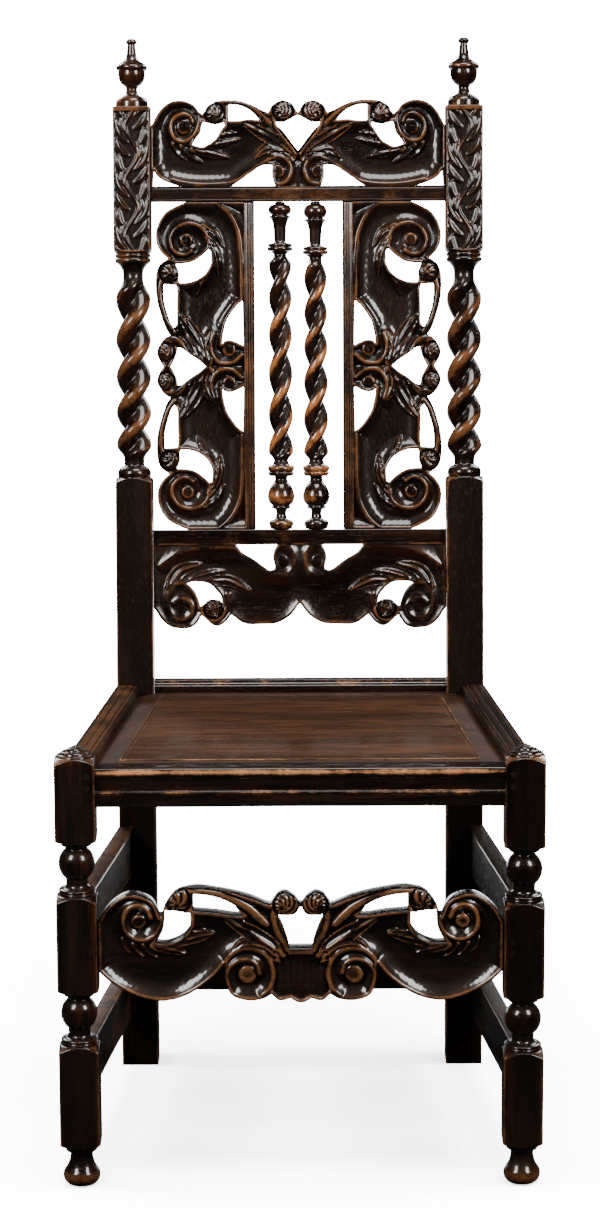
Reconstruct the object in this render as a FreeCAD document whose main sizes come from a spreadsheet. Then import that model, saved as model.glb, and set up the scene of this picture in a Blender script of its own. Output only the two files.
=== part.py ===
import FreeCAD, Part
import math
import os

import Sketcher
from FreeCAD import Placement, Rotation, Vector

# A joined oak side chair with twist-turned posts, a pierced and carved back and a fielded panel seat.
# Millimetres, +Z up, and the sitter faces -Y. The origin is on the floor under the middle of the chair.
# The chair's frame has X across from the middle plane, Y going back and Z up from the floor.
# The back leans, so its pieces are drawn in a back frame, whose origin is on the bend of the rear
# posts: there Z runs up the lean and Y points out behind the back.

SIZES = {
    # Plan, stock and lean of the frame
    "front_width": 515,
    "back_width": 427,
    "leg_depth": 420,
    "stock": 43,
    "bend_drop": 11,
    "rake": 7,
    # Front legs, from the floor up
    "foot_height": 46,
    "lower_block": 107,
    "middle_block": 104,
    "top_block": 93,
    "top_block_rise": 9,
    "dome_height": 12,
    "block_shoulder": 7,
    "foot_radius": 20,
    "foot_base_radius": 13,
    "neck_radius": 12,
    "ring_radius": 19.3,
    "ball_radius": 19.5,
    "lip_radius": 16.5,
    "button_radius": 6,
    # Rear posts, up the lean from the bend
    "post_plain": 249,
    "cushion_height": 19,
    "collar_height": 25,
    "carved_block": 167,
    "carved_block_drop": 58,
    "carved_chamfer": 6,
    "cushion_radius": 19.5,
    "collar_radius": 20.1,
    "twist_neck_radius": 11.8,
    "twist_lobe_radius": 11.3,
    "twist_lobe_offset": 8.7,
    "twist_lead": 91,
    # Finials
    "finial_height": 79.3,
    "finial_radius": 18.7,
    "spigot_radius": 7,
    "spigot_length": 18,
    # Seat frame
    "seat_height": 461,
    "rail_height": 43,
    "front_rail_thickness": 25,
    "front_rail_setback": 2.5,
    "nosing_height": 12,
    "nosing_reach": 4,
    "side_rail_thickness": 28,
    "side_rail_inset": 7.5,
    "side_rail_proud": 1.5,
    "rear_rail_thickness": 24,
    "rear_rail_setback": 18.5,
    # Seat panel
    "tongue_depth": 6,
    "tongue_thickness": 7,
    "tongue_drop": 13,
    "panel_rise": 7,
    "side_bevel": 27,
    "front_bevel": 40,
    "rear_bevel": 44,
    # Stretchers
    "side_stretcher_thickness": 19,
    "side_stretcher_inset": 1.5,
    "side_stretcher_proud": 0.5,
    "upper_stretcher_width": 54,
    "lower_stretcher_lift": 24,
    "lower_stretcher_width": 55,
    "rear_stretcher_lift": 45,
    "rear_stretcher_width": 52,
    "rear_stretcher_thickness": 20,
    "rear_stretcher_setback": 4,
    "front_stretcher_drop": 9,
    "front_stretcher_width": 126,
    "front_stretcher_thickness": 24,
    "front_stretcher_setback": 7.5,
    # Carved boards of the back
    "board_thickness": 22,
    "board_setback": 11.5,
    "lower_board_rise": 73.5,
    "lower_board_width": 115.1,
    "crest_rise": 568,
    "crest_width": 117,
    "crest_bar": 18,
    "splat_inset": 51,
    "splat_width": 115,
    "splat_thickness": 20,
    # Spindles of the back
    "spindle_spread": 20,
    "spindle_foot": 79,
    "spindle_head": 60,
    "spindle_radius": 15.6,
    "spindle_neck_radius": 7.5,
    "spindle_lobe_radius": 7.8,
    "spindle_lobe_offset": 6.4,
    "spindle_lead": 88,
    "spindle_tenon_radius": 5.5,
    # Tenons and pegs
    "tenon_thickness": 9,
    "tenon_length": 24,
    "tenon_inset": 6,
    "tenon_web": 3,
    "tenon_shoulder": 3,
    "back_tenon_length": 18,
    "board_tenon_length": 10,
    "peg_radius": 3.5,
    "peg_length": 30,
    "peg_proud": 0.6,
    "peg_inset": 8.5,
    "peg_spacing": 13,
    "fit_clearance": 0.2,
    # Length by which a cutter or a joined piece runs past a face
    "overrun": 1,
}

FULL_TURN = 360
SECTIONS_PER_TURN = 16

# Turnings as (height share, radius share) or, for a round stretch, with the shares of a point it
# passes through. Heights are shares of the turning's length.
RING_HEIGHT_SHARES = (0.01, 0.11)
COVE_SHARES = (0.225, 0.15, 0.25)
BALL_SHARES = (0.562, 0.256)
LIP_SHARES = (0.87, 0.895, 0.95)
OVOLO_SHARES = (0.96, 1.125, 0.99, 0.57)
FOOT_SHARES = (0.26, 0.61, 0.70, 0.78)
FOOT_LIP_SHARES = (0.82, 0.935)
FOOT_OVOLO_SHARES = (0.945, 1.17, 0.984, 0.57)
FOOT_COVE_SHARE = 0.125
DOME_SHARES = (0.5, 0.333, 0.667, 0.125, 0.5)
# Turned ends of a rear post: the cushion under the twist and the collar over it.
CUSHION_FILLET_SHARES = (0.03, 0.16)
CUSHION_SHARES = (0.78, 0.92, 0.5)
COLLAR_FLARE_SHARES = (0.52, 0.94, 0.3, 0.25)
COLLAR_RING_SHARES = (0.58, 0.94)
# Section of the front seat rail, as shares of its nosing's reach and height and of the height below.
NOSE_SHARES = (0.333, 0.5)
HOLLOW_SHARES = (0.5, 0.25, 0.333)
BEAD_SHARES = (0.5, 0.333, 0.25)

# Finial outline, as shares of its height and of its radius at the foot.
FINIAL_SHARES = [
    (0.00, 1.00),
    (0.03, 1.00),
    (0.155, 0.70, 0.105, 0.94),
    (0.215, 0.37),
    (0.33, 0.545, 0.27, 0.34),
    (0.45, 0.78),
    (0.55, 0.91),
    (0.62, 0.94, 0.585, 0.965),
    (0.67, 0.57),
    (0.79, 0.31, 0.71, 0.42),
    (0.925, 0.22),
    (0.94, 0.30),
]
FINIAL_BELLY_SHARES = (0.60, 0.95)

# Carved boards: curved runs that meet at corners. Across is a share of the half length between the
# posts or legs, and up is a share of the board's width.
CREST_TOP_SHARES = [
    [(0.000, 0.880), (0.033, 0.949), (0.101, 0.996), (0.180, 0.932), (0.201, 0.868)],
    [(0.201, 0.868), (0.290, 0.936), (0.370, 0.983), (0.460, 1.000), (0.551, 0.989), (0.613, 0.940),
     (0.643, 0.863)],
    [(0.643, 0.863), (0.699, 0.940), (0.796, 0.996), (0.886, 0.966), (0.959, 0.855), (1.000, 0.744)],
    [(1.000, 0.744), (1.000, 0.000)],
]
CREST_HOLE_SHARES = [
    [
        [(0.798, 0.154), (0.887, 0.197), (0.961, 0.265), (0.977, 0.308)],
        [(0.977, 0.308), (0.977, 0.154)],
        [(0.977, 0.154), (0.798, 0.154)],
    ],
    [
        [(0.455, 0.154), (0.387, 0.214), (0.308, 0.299), (0.216, 0.363), (0.174, 0.359)],
        [(0.174, 0.359), (0.177, 0.256), (0.155, 0.154)],
        [(0.155, 0.154), (0.455, 0.154)],
    ],
    [
        [(0.470, 0.949), (0.412, 0.940), (0.351, 0.906), (0.259, 0.799)],
        [(0.259, 0.799), (0.338, 0.808), (0.470, 0.795)],
        [(0.470, 0.795), (0.470, 0.949)],
    ],
    [
        [(0.643, 0.786), (0.564, 0.761), (0.503, 0.782)],
        [(0.503, 0.782), (0.540, 0.658), (0.607, 0.564), (0.717, 0.564)],
        [(0.717, 0.564), (0.662, 0.684), (0.643, 0.786)],
    ],
]
CREST_SHIELD_SHARES = [
    [(0.000, 0.838), (0.046, 0.816), (0.150, 0.786)],
    [(0.150, 0.786), (0.119, 0.718), (0.052, 0.598), (0.000, 0.500)],
]
CREST_TENON_SHARES = (0.36, 0.70)

LOWER_EDGE_SHARES = [
    [(0.000, 0.248), (0.041, 0.169), (0.123, 0.074), (0.258, 0.042), (0.393, 0.056), (0.469, 0.143)],
    [(0.469, 0.143), (0.510, 0.056), (0.569, 0.022), (0.628, 0.056), (0.672, 0.130)],
    [(0.672, 0.130), (0.721, 0.030), (0.815, 0.000), (0.915, 0.048), (1.000, 0.213)],
    [(1.000, 0.213), (1.000, 1.000)],
]
LOWER_HOLE_SHARES = [
    [
        [(0.434, 0.838), (0.346, 0.769), (0.252, 0.630), (0.176, 0.595)],
        [(0.176, 0.595), (0.182, 0.708), (0.152, 0.838)],
        [(0.152, 0.838), (0.434, 0.838)],
    ],
    [
        [(0.774, 0.456), (0.686, 0.474), (0.598, 0.430), (0.531, 0.274)],
        [(0.531, 0.274), (0.616, 0.256), (0.680, 0.222)],
        [(0.680, 0.222), (0.710, 0.352), (0.774, 0.456)],
    ],
]
LOWER_TENON_SHARES = (0.30, 0.93)
LOWER_PEG_SHARE = 0.68
LOWER_PEG_SPREAD_SHARE = 0.26

STRETCHER_TOP_SHARES = [
    [(0.000, 0.849), (0.028, 0.913), (0.070, 0.952), (0.112, 0.937), (0.152, 0.849)],
    [(0.152, 0.849), (0.256, 0.921), (0.396, 0.976), (0.527, 1.000), (0.620, 0.952), (0.667, 0.849),
     (0.688, 0.746)],
    [(0.688, 0.746), (0.723, 0.873), (0.779, 0.929), (0.844, 0.944), (0.909, 0.897), (0.960, 0.817),
     (1.000, 0.698)],
    [(1.000, 0.698), (1.000, 0.286)],
    [(1.000, 0.286), (0.937, 0.183), (0.839, 0.084), (0.737, 0.026), (0.676, 0.020), (0.597, 0.048),
     (0.513, 0.119), (0.429, 0.233), (0.378, 0.337)],
    [(0.378, 0.337), (0.373, 0.190), (0.340, 0.067), (0.261, 0.020), (0.186, 0.036), (0.145, 0.075)],
    [(0.145, 0.075), (0.107, 0.021), (0.051, 0.038)],
    [(0.051, 0.038), (0.019, 0.005), (0.000, 0.000)],
]
STRETCHER_HOLE_SHARES = [
    [
        [(0.667, 0.810), (0.597, 0.786), (0.541, 0.786)],
        [(0.541, 0.786), (0.545, 0.667), (0.583, 0.579), (0.653, 0.524), (0.713, 0.524)],
        [(0.713, 0.524), (0.676, 0.651), (0.667, 0.810)],
    ],
    [
        [(0.527, 0.944), (0.466, 0.933), (0.396, 0.905), (0.326, 0.841), (0.284, 0.762)],
        [(0.284, 0.762), (0.326, 0.762), (0.420, 0.786), (0.527, 0.802)],
        [(0.527, 0.802), (0.527, 0.944)],
    ],
]
STRETCHER_SHIELD_SHARES = [
    [(0.000, 0.833), (0.028, 0.762), (0.112, 0.754)],
    [(0.112, 0.754), (0.084, 0.651), (0.061, 0.524), (0.056, 0.476)],
    [(0.056, 0.476), (0.000, 0.476)],
]
STRETCHER_TENON_SHARES = (0.32, 0.66)

# Splats: across is a share of the splat's width from its straight edge, and up is a share of half
# its height from the middle. The lower half mirrors the upper one.
SPLAT_EDGE_SHARES = [
    [(0.000, 1.000), (0.687, 1.000)],
    [(0.687, 1.000), (0.800, 0.970), (0.887, 0.938), (0.983, 0.838), (0.991, 0.780), (0.957, 0.717),
     (0.870, 0.656)],
    [(0.870, 0.656), (0.957, 0.617), (0.987, 0.559), (1.000, 0.480), (0.983, 0.401), (0.922, 0.269),
     (0.852, 0.190)],
    [(0.852, 0.190), (0.930, 0.163), (0.987, 0.095), (0.974, 0.047), (0.922, 0.000)],
]
SPLAT_WAIST_SHARES = [
    [(0.852, 0.000), (0.822, 0.032), (0.778, 0.116)],
    [(0.778, 0.116), (0.652, 0.071), (0.496, 0.000)],
]
SPLAT_HOLE_SHARES = [
    [
        [(0.796, 0.625), (0.626, 0.638), (0.461, 0.714)],
        [(0.461, 0.714), (0.435, 0.654), (0.478, 0.580), (0.574, 0.530), (0.757, 0.509)],
        [(0.757, 0.509), (0.765, 0.575), (0.796, 0.625)],
    ],
    [
        [(0.930, 0.501), (0.852, 0.490), (0.787, 0.496)],
        [(0.787, 0.496), (0.783, 0.374), (0.787, 0.258), (0.817, 0.229)],
        [(0.817, 0.229), (0.887, 0.311), (0.930, 0.427), (0.930, 0.501)],
    ],
    [
        [(0.122, 0.401), (0.235, 0.327), (0.309, 0.227), (0.330, 0.137)],
        [(0.330, 0.137), (0.235, 0.153), (0.113, 0.124)],
        [(0.113, 0.124), (0.122, 0.401)],
    ],
]
SPLAT_TENON_SHARES = (0.08, 0.60)

# Ends of the spindles, as shares of the end's length and of the spindle's radius.
SPINDLE_FOOT_SHARES = [
    (0.00, 0.68),
    (0.04, 0.68),
    (0.14, 0.68, 0.09, 0.87),
    (0.25, 0.37, 0.17, 0.42),
    (0.30, 0.70),
    (0.34, 0.70),
    (0.60, 0.52, 0.47, 1.00),
    (0.73, 0.45),
    (0.81, 0.86),
    (0.94, 0.86, 0.875, 0.99),
]
SPINDLE_HEAD_SHARES = [
    (0.00, 0.35),
    (0.05, 0.35),
    (0.06, 0.70),
    (0.25, 0.70, 0.15, 0.84),
    (0.29, 0.77),
    (0.38, 0.47, 0.31, 0.52),
    (0.77, 0.40),
    (0.80, 0.80),
    (0.95, 0.80, 0.875, 0.94),
]


def sized(item):
    """Return a plain number as a size, and a size as it is."""
    if isinstance(item, Size):
        return item
    return Size(float(item), "%.6g" % item)


class Size:
    """A cell of the sheet, or a sum made of cells, with the expression that gives it."""

    def __init__(self, value, text):
        self.value = value
        self.text = text

    def __add__(self, other):
        other = sized(other)
        return Size(self.value + other.value, "(%s + %s)" % (self.text, other.text))

    def __sub__(self, other):
        other = sized(other)
        return Size(self.value - other.value, "(%s - %s)" % (self.text, other.text))

    def __mul__(self, other):
        other = sized(other)
        return Size(self.value * other.value, "(%s * %s)" % (self.text, other.text))

    def __truediv__(self, other):
        other = sized(other)
        return Size(self.value / other.value, "(%s / %s)" % (self.text, other.text))

    def __neg__(self):
        return Size(-self.value, "(0 - %s)" % self.text)

    def __rsub__(self, other):
        return sized(other) - self

    __radd__ = __add__
    __rmul__ = __mul__


def sine(angle):
    """Sine of a size in degrees."""
    return Size(math.sin(math.radians(angle.value)), "sin(%s)" % angle.text)


def cosine(angle):
    """Cosine of a size in degrees."""
    return Size(math.cos(math.radians(angle.value)), "cos(%s)" % angle.text)


def root(size):
    """Square root of a size."""
    return Size(math.sqrt(size.value), "sqrt(%s)" % size.text)


def make_sheet():
    """Put the driving sizes into the document's sheet, one row each, and return them by name."""
    sheet = doc.addObject("Spreadsheet::Sheet", "sizes")
    for row, (name, value) in enumerate(SIZES.items(), start=1):
        sheet.set("A%d" % row, name)
        sheet.set("B%d" % row, str(value))
        sheet.setAlias("B%d" % row, name)
    doc.recompute()
    return {name: Size(float(getattr(sheet, name)), "sizes." + name) for name in SIZES}


class Sizes:
    """The sheet's sizes as attributes."""

    def __init__(self, cells):
        self.__dict__.update(cells)


def bind(item, path, size):
    """Hold a property of an object to the sheet."""
    item.setExpression(path, size.text)


class Block:
    """A box between two sizes along each axis."""

    def __init__(self, across, deep, high):
        pairs = (across, deep, high)
        self.ranges = [sorted(map(sized, pair), key=lambda end: end.value) for pair in pairs]

    def grown(self, margin):
        """The same box, larger by a margin on every side."""
        return Block(*[(low - margin, high + margin) for low, high in self.ranges])

    def solid(self, origin=Vector(0, 0, 0)):
        """The box as a solid, measured from an origin."""
        low = Vector(*[pair[0].value for pair in self.ranges])
        high = Vector(*[pair[1].value for pair in self.ranges])
        span = high - low
        return Part.makeBox(span.x, span.y, span.z, low - origin)

    def box(self, name):
        """The box as an object of the document, bound to the sheet."""
        item = doc.addObject("Part::Box", name)
        for (low, high), length, axis in zip(self.ranges, ("Length", "Width", "Height"), "xyz"):
            bind(item, length, high - low)
            bind(item, "Placement.Base." + axis, low)
        return item


# Outlines


def corners_of(outline):
    """The corner points of an outline, without the points its arcs pass through."""
    return [Vector(sized(corner[0]).value, sized(corner[1]).value, 0) for corner in outline]


def middle_of(corner):
    """The point that the arc to a corner passes through."""
    return Vector(sized(corner[2]).value, sized(corner[3]).value, 0)


def add_sketch(body, name, role, outline, lift=None):
    """Draw a closed outline on one of a body's own planes, with every point held to the sheet.

    A corner is (x, y), reached by a straight line, or (x, y, through x, through y), by an arc.
    """
    sketch = body.newObject("Sketcher::SketchObject", name)
    plane = next(item for item in body.Origin.OriginFeatures if item.Role == role)
    sketch.AttachmentSupport = [(plane, "")]
    sketch.MapMode = "FlatFace"
    if lift is not None:
        bind(sketch, "AttachmentOffset.Base.z", lift)
    corners = corners_of(outline)
    constraints = []
    texts = {}

    def hold(stretch, point, corner_x, corner_y):
        """Hold a point of the sketch at two sizes."""
        for kind, size in (("DistanceX", sized(corner_x)), ("DistanceY", sized(corner_y))):
            if size.value or "sizes" in size.text:
                texts[len(constraints)] = size.text
            constraints.append(Sketcher.Constraint(kind, -1, 1, stretch, point, size.value))

    ends = []
    for index, corner in enumerate(outline):
        start, end = corners[index - 1], corners[index]
        if len(corner) == 4:
            middle = middle_of(corner)
            stretch = sketch.addGeometry(Part.ArcOfCircle(start, middle, end), False)
            helper = sketch.addGeometry(Part.Point(middle), True)
            constraints.append(Sketcher.Constraint("PointOnObject", helper, 1, stretch))
            hold(helper, 1, corner[2], corner[3])
        else:
            stretch = sketch.addGeometry(Part.LineSegment(start, end), False)
        first = sketch.getPoint(stretch, 1)
        ends.append((stretch, 1, 2) if (first - start).Length < (first - end).Length else (stretch, 2, 1))
    for index, (stretch, start_point, end_point) in enumerate(ends):
        following, following_start, _ = ends[(index + 1) % len(ends)]
        constraints.append(Sketcher.Constraint("Coincident", stretch, end_point, following, following_start))
        hold(stretch, end_point, outline[index][0], outline[index][1])
    sketch.addConstraint(constraints)
    for number, text in texts.items():
        sketch.setExpression("Constraints[%d]" % number, text)
    return sketch


def pad(body, name, sketch, length, symmetric=False):
    """Give a sketch of a body its thickness."""
    feature = body.newObject("PartDesign::Pad", name)
    feature.Profile = sketch
    if symmetric:
        feature.SideType = "Symmetric"
    bind(feature, "Length", length)
    return feature


def wire_of(outline, plane_point):
    """A closed wire through an outline, each of its points placed by a function."""
    corners = corners_of(outline)
    edges = []
    for index, corner in enumerate(outline):
        start, end = plane_point(corners[index - 1]), plane_point(corners[index])
        if len(corner) == 4:
            edges.append(Part.Arc(start, plane_point(middle_of(corner)), end).toShape())
        else:
            edges.append(Part.LineSegment(start, end).toShape())
    return Part.Wire(edges)


def turned_solid(outline):
    """Turn an outline of (radius, height) corners, which starts and ends on the axis, into a solid."""
    wire = wire_of(outline, lambda point: Vector(point.x, 0, point.y))
    return Part.Face(wire).revolve(Vector(0, 0, 0), Vector(0, 0, 1), FULL_TURN)


def turning(shares, base, length, radius):
    """Corners (radius, height) of a turning, from shares of its length and radius.

    A negative length runs the shares downwards from the base.
    """
    corners = []
    for row in shares:
        corner = [radius * row[1], base + length * row[0]]
        if len(row) == 4:
            corner += [radius * row[3], base + length * row[2]]
        corners.append(tuple(corner))
    return corners


def cap(radius, base, rise):
    """Corner on the axis at the top of a part of a ball, which starts at a radius and a height."""
    ball = (radius * radius + rise * rise) / (rise * 2)
    middle = radius / 2
    return sized(0), base + rise, middle, base + rise - ball + root(ball * ball - middle * middle)


def spline_edges(runs, across, up, base, mirror=1):
    """Edges through runs of share points, across by up, in the plane of a board's front."""
    edges = []
    for run in runs:
        points = [Vector(mirror * x * across.value, 0, (base + up * y).value) for x, y in run]
        if len(points) == 2:
            edges.append(Part.LineSegment(*points).toShape())
        else:
            curve = Part.BSplineCurve()
            curve.interpolate(points)
            edges.append(curve.toShape())
    return edges


def board_solid(edges, front, thickness):
    """A board of a thickness behind its front face, from the edges of its outline."""
    face = Part.Face(Part.Wire(Part.sortEdges(edges)[0]))
    return moved(face.extrude(Vector(0, thickness.value, 0)), Vector(0, front.value, 0))


def moved(shape, offset):
    """A copy of a shape, moved."""
    copy = shape.copy()
    copy.translate(offset)
    return copy


def joined(first, others):
    """One solid out of solids that touch or overlap."""
    return first.fuse(others).removeSplitter()


def twist_solid(start, end, lobe_radius, lobe_offset, end_radius, lead):
    """A twist of two strands from one height to another, fading into round necks.

    Each section is a pair of equal circles set off to both sides of the axis, cut where they meet.
    """
    turns = (end.value - start.value) / lead.value
    count = math.ceil(turns * SECTIONS_PER_TURN)
    sections = []
    for index in range(count + 1):
        share = index / count
        from_end = min(share, 1 - share) * turns
        fade = math.sin(math.pi / 2 * min(1, 4 * from_end)) ** 2
        radius = end_radius.value + (lobe_radius.value - end_radius.value) * fade
        offset = lobe_offset.value * fade
        side = math.sqrt(radius ** 2 - offset ** 2)
        arcs = [
            Part.Arc(Vector(0, -side, 0), Vector(radius + offset, 0, 0), Vector(0, side, 0)).toShape(),
            Part.Arc(Vector(0, side, 0), Vector(-radius - offset, 0, 0), Vector(0, -side, 0)).toShape(),
        ]
        section = Part.Wire(arcs)
        section.rotate(Vector(0, 0, 0), Vector(0, 0, 1), FULL_TURN * turns * (share - 1) + FULL_TURN / 4)
        section.translate(Vector(0, 0, start.value + share * (end.value - start.value)))
        sections.append(section)
    return Part.makeLoft(sections, True)


# Places that several pieces share


def lay_out(s):
    """Work out the shared places from the sheet's sizes."""
    s.half = s.stock / 2
    s.corner_radius = s.stock * math.sqrt(2) / 2
    s.clear_radius = s.corner_radius + s.overrun
    s.leg_x = (s.front_width - s.stock) / 2
    s.post_x = (s.back_width - s.stock) / 2
    s.leg_inner = s.leg_x - s.half
    s.post_inner = s.post_x - s.half
    s.bend_height = s.seat_height - s.bend_drop
    s.top_block_top = s.seat_height + s.top_block_rise
    s.top_block_base = s.top_block_top - s.top_block
    s.middle_gap_base = s.foot_height + s.lower_block
    s.turning_gap = (s.top_block_base - s.middle_gap_base - s.middle_block) / 2
    s.middle_block_base = s.middle_gap_base + s.turning_gap
    s.upper_gap_base = s.middle_block_base + s.middle_block
    s.leg_top = s.top_block_top + s.dome_height
    s.upper_stretcher_rise = s.middle_block_base + (s.middle_block - s.upper_stretcher_width) / 2
    s.lower_stretcher_rise = s.foot_height + s.lower_stretcher_lift
    s.rear_stretcher_rise = s.foot_height + s.rear_stretcher_lift
    s.front_stretcher_rise = s.middle_block_base - s.front_stretcher_drop
    s.twist_start = s.post_plain + s.cushion_height
    s.carved_base = s.crest_rise - s.carved_block_drop
    s.twist_end = s.carved_base - s.collar_height
    s.post_top = s.carved_base + s.carved_block
    belly_height, belly_radius = FINIAL_BELLY_SHARES
    s.back_reach = (s.post_top + s.finial_height * belly_height) * sine(s.rake)
    s.back_reach = s.back_reach + s.finial_radius * belly_radius * cosine(s.rake)
    s.front_y = (s.half + s.peg_proud - s.leg_depth - s.back_reach) / 2
    s.rear_y = s.front_y + s.leg_depth
    s.leg_rear = s.front_y + s.half
    s.post_front = s.rear_y - s.half
    s.rail_base = s.seat_height - s.rail_height
    s.front_rail_rear = s.front_y - s.half + s.front_rail_setback + s.front_rail_thickness
    s.rear_rail_front = s.post_front + s.rear_rail_setback
    s.board_front = s.board_setback - s.half
    s.board_middle = s.board_front + s.board_thickness / 2
    s.lower_bar_top = s.lower_board_rise + s.lower_board_width
    s.splat_height = s.crest_rise - s.lower_bar_top


def back_frame(s):
    """Placement of the leaning back frame."""
    return Placement(Vector(0, s.rear_y.value, s.bend_height.value), Rotation(Vector(1, 0, 0), -s.rake.value))


def in_back_frame(s, rise, depth):
    """Depth and height in the chair's frame of a point given up the lean and behind its plane."""
    deep = s.rear_y + rise * sine(s.rake) + depth * cosine(s.rake)
    high = s.bend_height + rise * cosine(s.rake) - depth * sine(s.rake)
    return deep, high


def side_line(s, inset, proud, thickness):
    """Outer and inner place across of a side member, at the legs and at the posts."""
    outer_front = s.leg_x + s.half - inset
    outer_rear = s.post_x + s.half + proud
    return outer_front, outer_rear, outer_front - thickness, outer_rear - thickness


def rail_line(s):
    """The line of the side seat rails."""
    return side_line(s, s.side_rail_inset, s.side_rail_proud, s.side_rail_thickness)


def stretcher_line(s):
    """The line of the side stretchers."""
    return side_line(s, s.side_stretcher_inset, s.side_stretcher_proud, s.side_stretcher_thickness)


# Tenons, each given once and used for the piece that has it and for the mortise it enters


def long_tenons(s, side, line, base, width):
    """Front and rear tenons of a side rail or stretcher, running front to back."""
    outer_front, outer_rear, _, _ = line
    high = (base + s.tenon_shoulder, base + width - s.tenon_shoulder)
    tenons = []
    for outer, shoulder, end in (
        (outer_front, s.leg_rear + s.overrun, s.leg_rear - s.tenon_length),
        (outer_rear, s.post_front - s.overrun, s.post_front + s.tenon_length),
    ):
        outside = outer - s.tenon_inset
        tenons.append(Block((side * outside, side * (outside - s.tenon_thickness)), (shoulder, end), high))
    return tenons


def cross_tenon(s, side, shoulder, end, front, high):
    """A tenon that runs across into a leg or post, its front face at a place front to back."""
    return Block((side * (shoulder - s.overrun), side * end), (front, front + s.tenon_thickness), high)


def tenon_stop(s, outer):
    """How far across a cross tenon reaches: a web of wood short of the side member's tenon."""
    return outer - s.tenon_inset - s.tenon_thickness - s.tenon_web


def front_rail_tenon(s, side):
    """Tenon of the front seat rail, in the middle of its thickness."""
    front = s.front_rail_rear - (s.front_rail_thickness + s.tenon_thickness) / 2
    high = (s.rail_base + s.tenon_shoulder, s.seat_height - s.tenon_shoulder)
    return cross_tenon(s, side, s.leg_inner, tenon_stop(s, rail_line(s)[0]), front, high)


def rear_rail_tenon(s, side):
    """Tenon of the rear seat rail, in the middle of its thickness."""
    front = s.rear_rail_front + (s.rear_rail_thickness - s.tenon_thickness) / 2
    high = (s.rail_base + s.tenon_shoulder, s.seat_height - s.tenon_shoulder)
    return cross_tenon(s, side, s.post_inner, tenon_stop(s, rail_line(s)[1]), front, high)


def front_stretcher_tenon(s, side):
    """Tenon of the carved front stretcher, in the middle of its thickness."""
    front = s.front_y - s.half + s.front_stretcher_setback
    front = front + (s.front_stretcher_thickness - s.tenon_thickness) / 2
    high = [s.front_stretcher_rise + s.front_stretcher_width * share for share in STRETCHER_TENON_SHARES]
    return cross_tenon(s, side, s.leg_inner, tenon_stop(s, stretcher_line(s)[0]), front, high)


def rear_stretcher_tenon(s, side):
    """Tenon of the rear stretcher, in the middle of its thickness."""
    front = s.post_front + s.rear_stretcher_setback + (s.rear_stretcher_thickness - s.tenon_thickness) / 2
    top = s.rear_stretcher_rise + s.rear_stretcher_width
    high = (s.rear_stretcher_rise + s.tenon_shoulder, top - s.tenon_shoulder)
    return cross_tenon(s, side, s.post_inner, tenon_stop(s, stretcher_line(s)[1]), front, high)


def side_members(s):
    """Name, line, base and width of the side rails and stretchers, and whether they hold the panel."""
    return [
        ("seat_rail_side", rail_line(s), s.rail_base, s.rail_height, True),
        ("stretcher_side_upper", stretcher_line(s), s.upper_stretcher_rise, s.upper_stretcher_width, False),
        ("stretcher_side_lower", stretcher_line(s), s.lower_stretcher_rise, s.lower_stretcher_width, False),
    ]


def back_tenons(s, side):
    """Tenons of the lower board and of the crest in a rear post, in the back frame."""
    front = s.board_middle - s.tenon_thickness / 2
    lower = [s.lower_board_rise + s.lower_board_width * share for share in LOWER_TENON_SHARES]
    bar = (s.crest_rise + s.tenon_shoulder, s.crest_rise + s.crest_bar - s.tenon_shoulder)
    scroll = [s.crest_rise + s.crest_width * share for share in CREST_TENON_SHARES]
    end = s.post_inner + s.back_tenon_length
    return [cross_tenon(s, side, s.post_inner, end, front, high) for high in (lower, bar, scroll)]


def splat_tenons(s, side):
    """Tenons of a splat in the lower board and in the crest, in the back frame."""
    across = [side * (s.splat_inset + s.splat_width * share) for share in SPLAT_TENON_SHARES]
    deep = (s.board_middle - s.tenon_thickness / 2, s.board_middle + s.tenon_thickness / 2)
    low = (s.lower_bar_top - s.board_tenon_length, s.lower_bar_top + s.overrun)
    high = (s.crest_rise - s.overrun, s.crest_rise + s.board_tenon_length)
    return [Block(across, deep, low), Block(across, deep, high)]


def spindle_bores(s, side, margin):
    """Round tenons of a spindle in the lower board and in the crest, in the back frame."""
    radius = (s.spindle_tenon_radius + margin).value
    length = (s.board_tenon_length + s.overrun + margin).value
    across = side * s.spindle_spread.value
    low = Vector(across, s.board_middle.value, (s.lower_bar_top - s.board_tenon_length - margin).value)
    high = Vector(across, s.board_middle.value, (s.crest_rise - s.overrun).value)
    return [Part.makeCylinder(radius, length, start) for start in (low, high)]


# Pegs


def leg_pegs(s, side):
    """Places (across, height) of the pegs in the front of a leg."""
    across = side * (s.leg_inner + s.peg_inset)
    rail = s.rail_base + s.rail_height / 2 + s.peg_spacing / 2
    low, high = [s.front_stretcher_rise + s.front_stretcher_width * share for share in STRETCHER_TENON_SHARES]
    stretcher = (low + high) / 2
    middles = (rail, stretcher)
    return [(across, middle + step * s.peg_spacing / 2) for middle in middles for step in (-1, 1)]


def post_pegs(s, side):
    """Places (across, rise) of the pegs in the front of a rear post, in the back frame."""
    across = side * (s.post_inner + s.peg_inset)
    middle = s.lower_board_rise + s.lower_board_width * LOWER_PEG_SHARE
    spread = s.lower_board_width * LOWER_PEG_SPREAD_SHARE
    return [(across, middle + step * spread / 2) for step in (-1, 1)]


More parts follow.
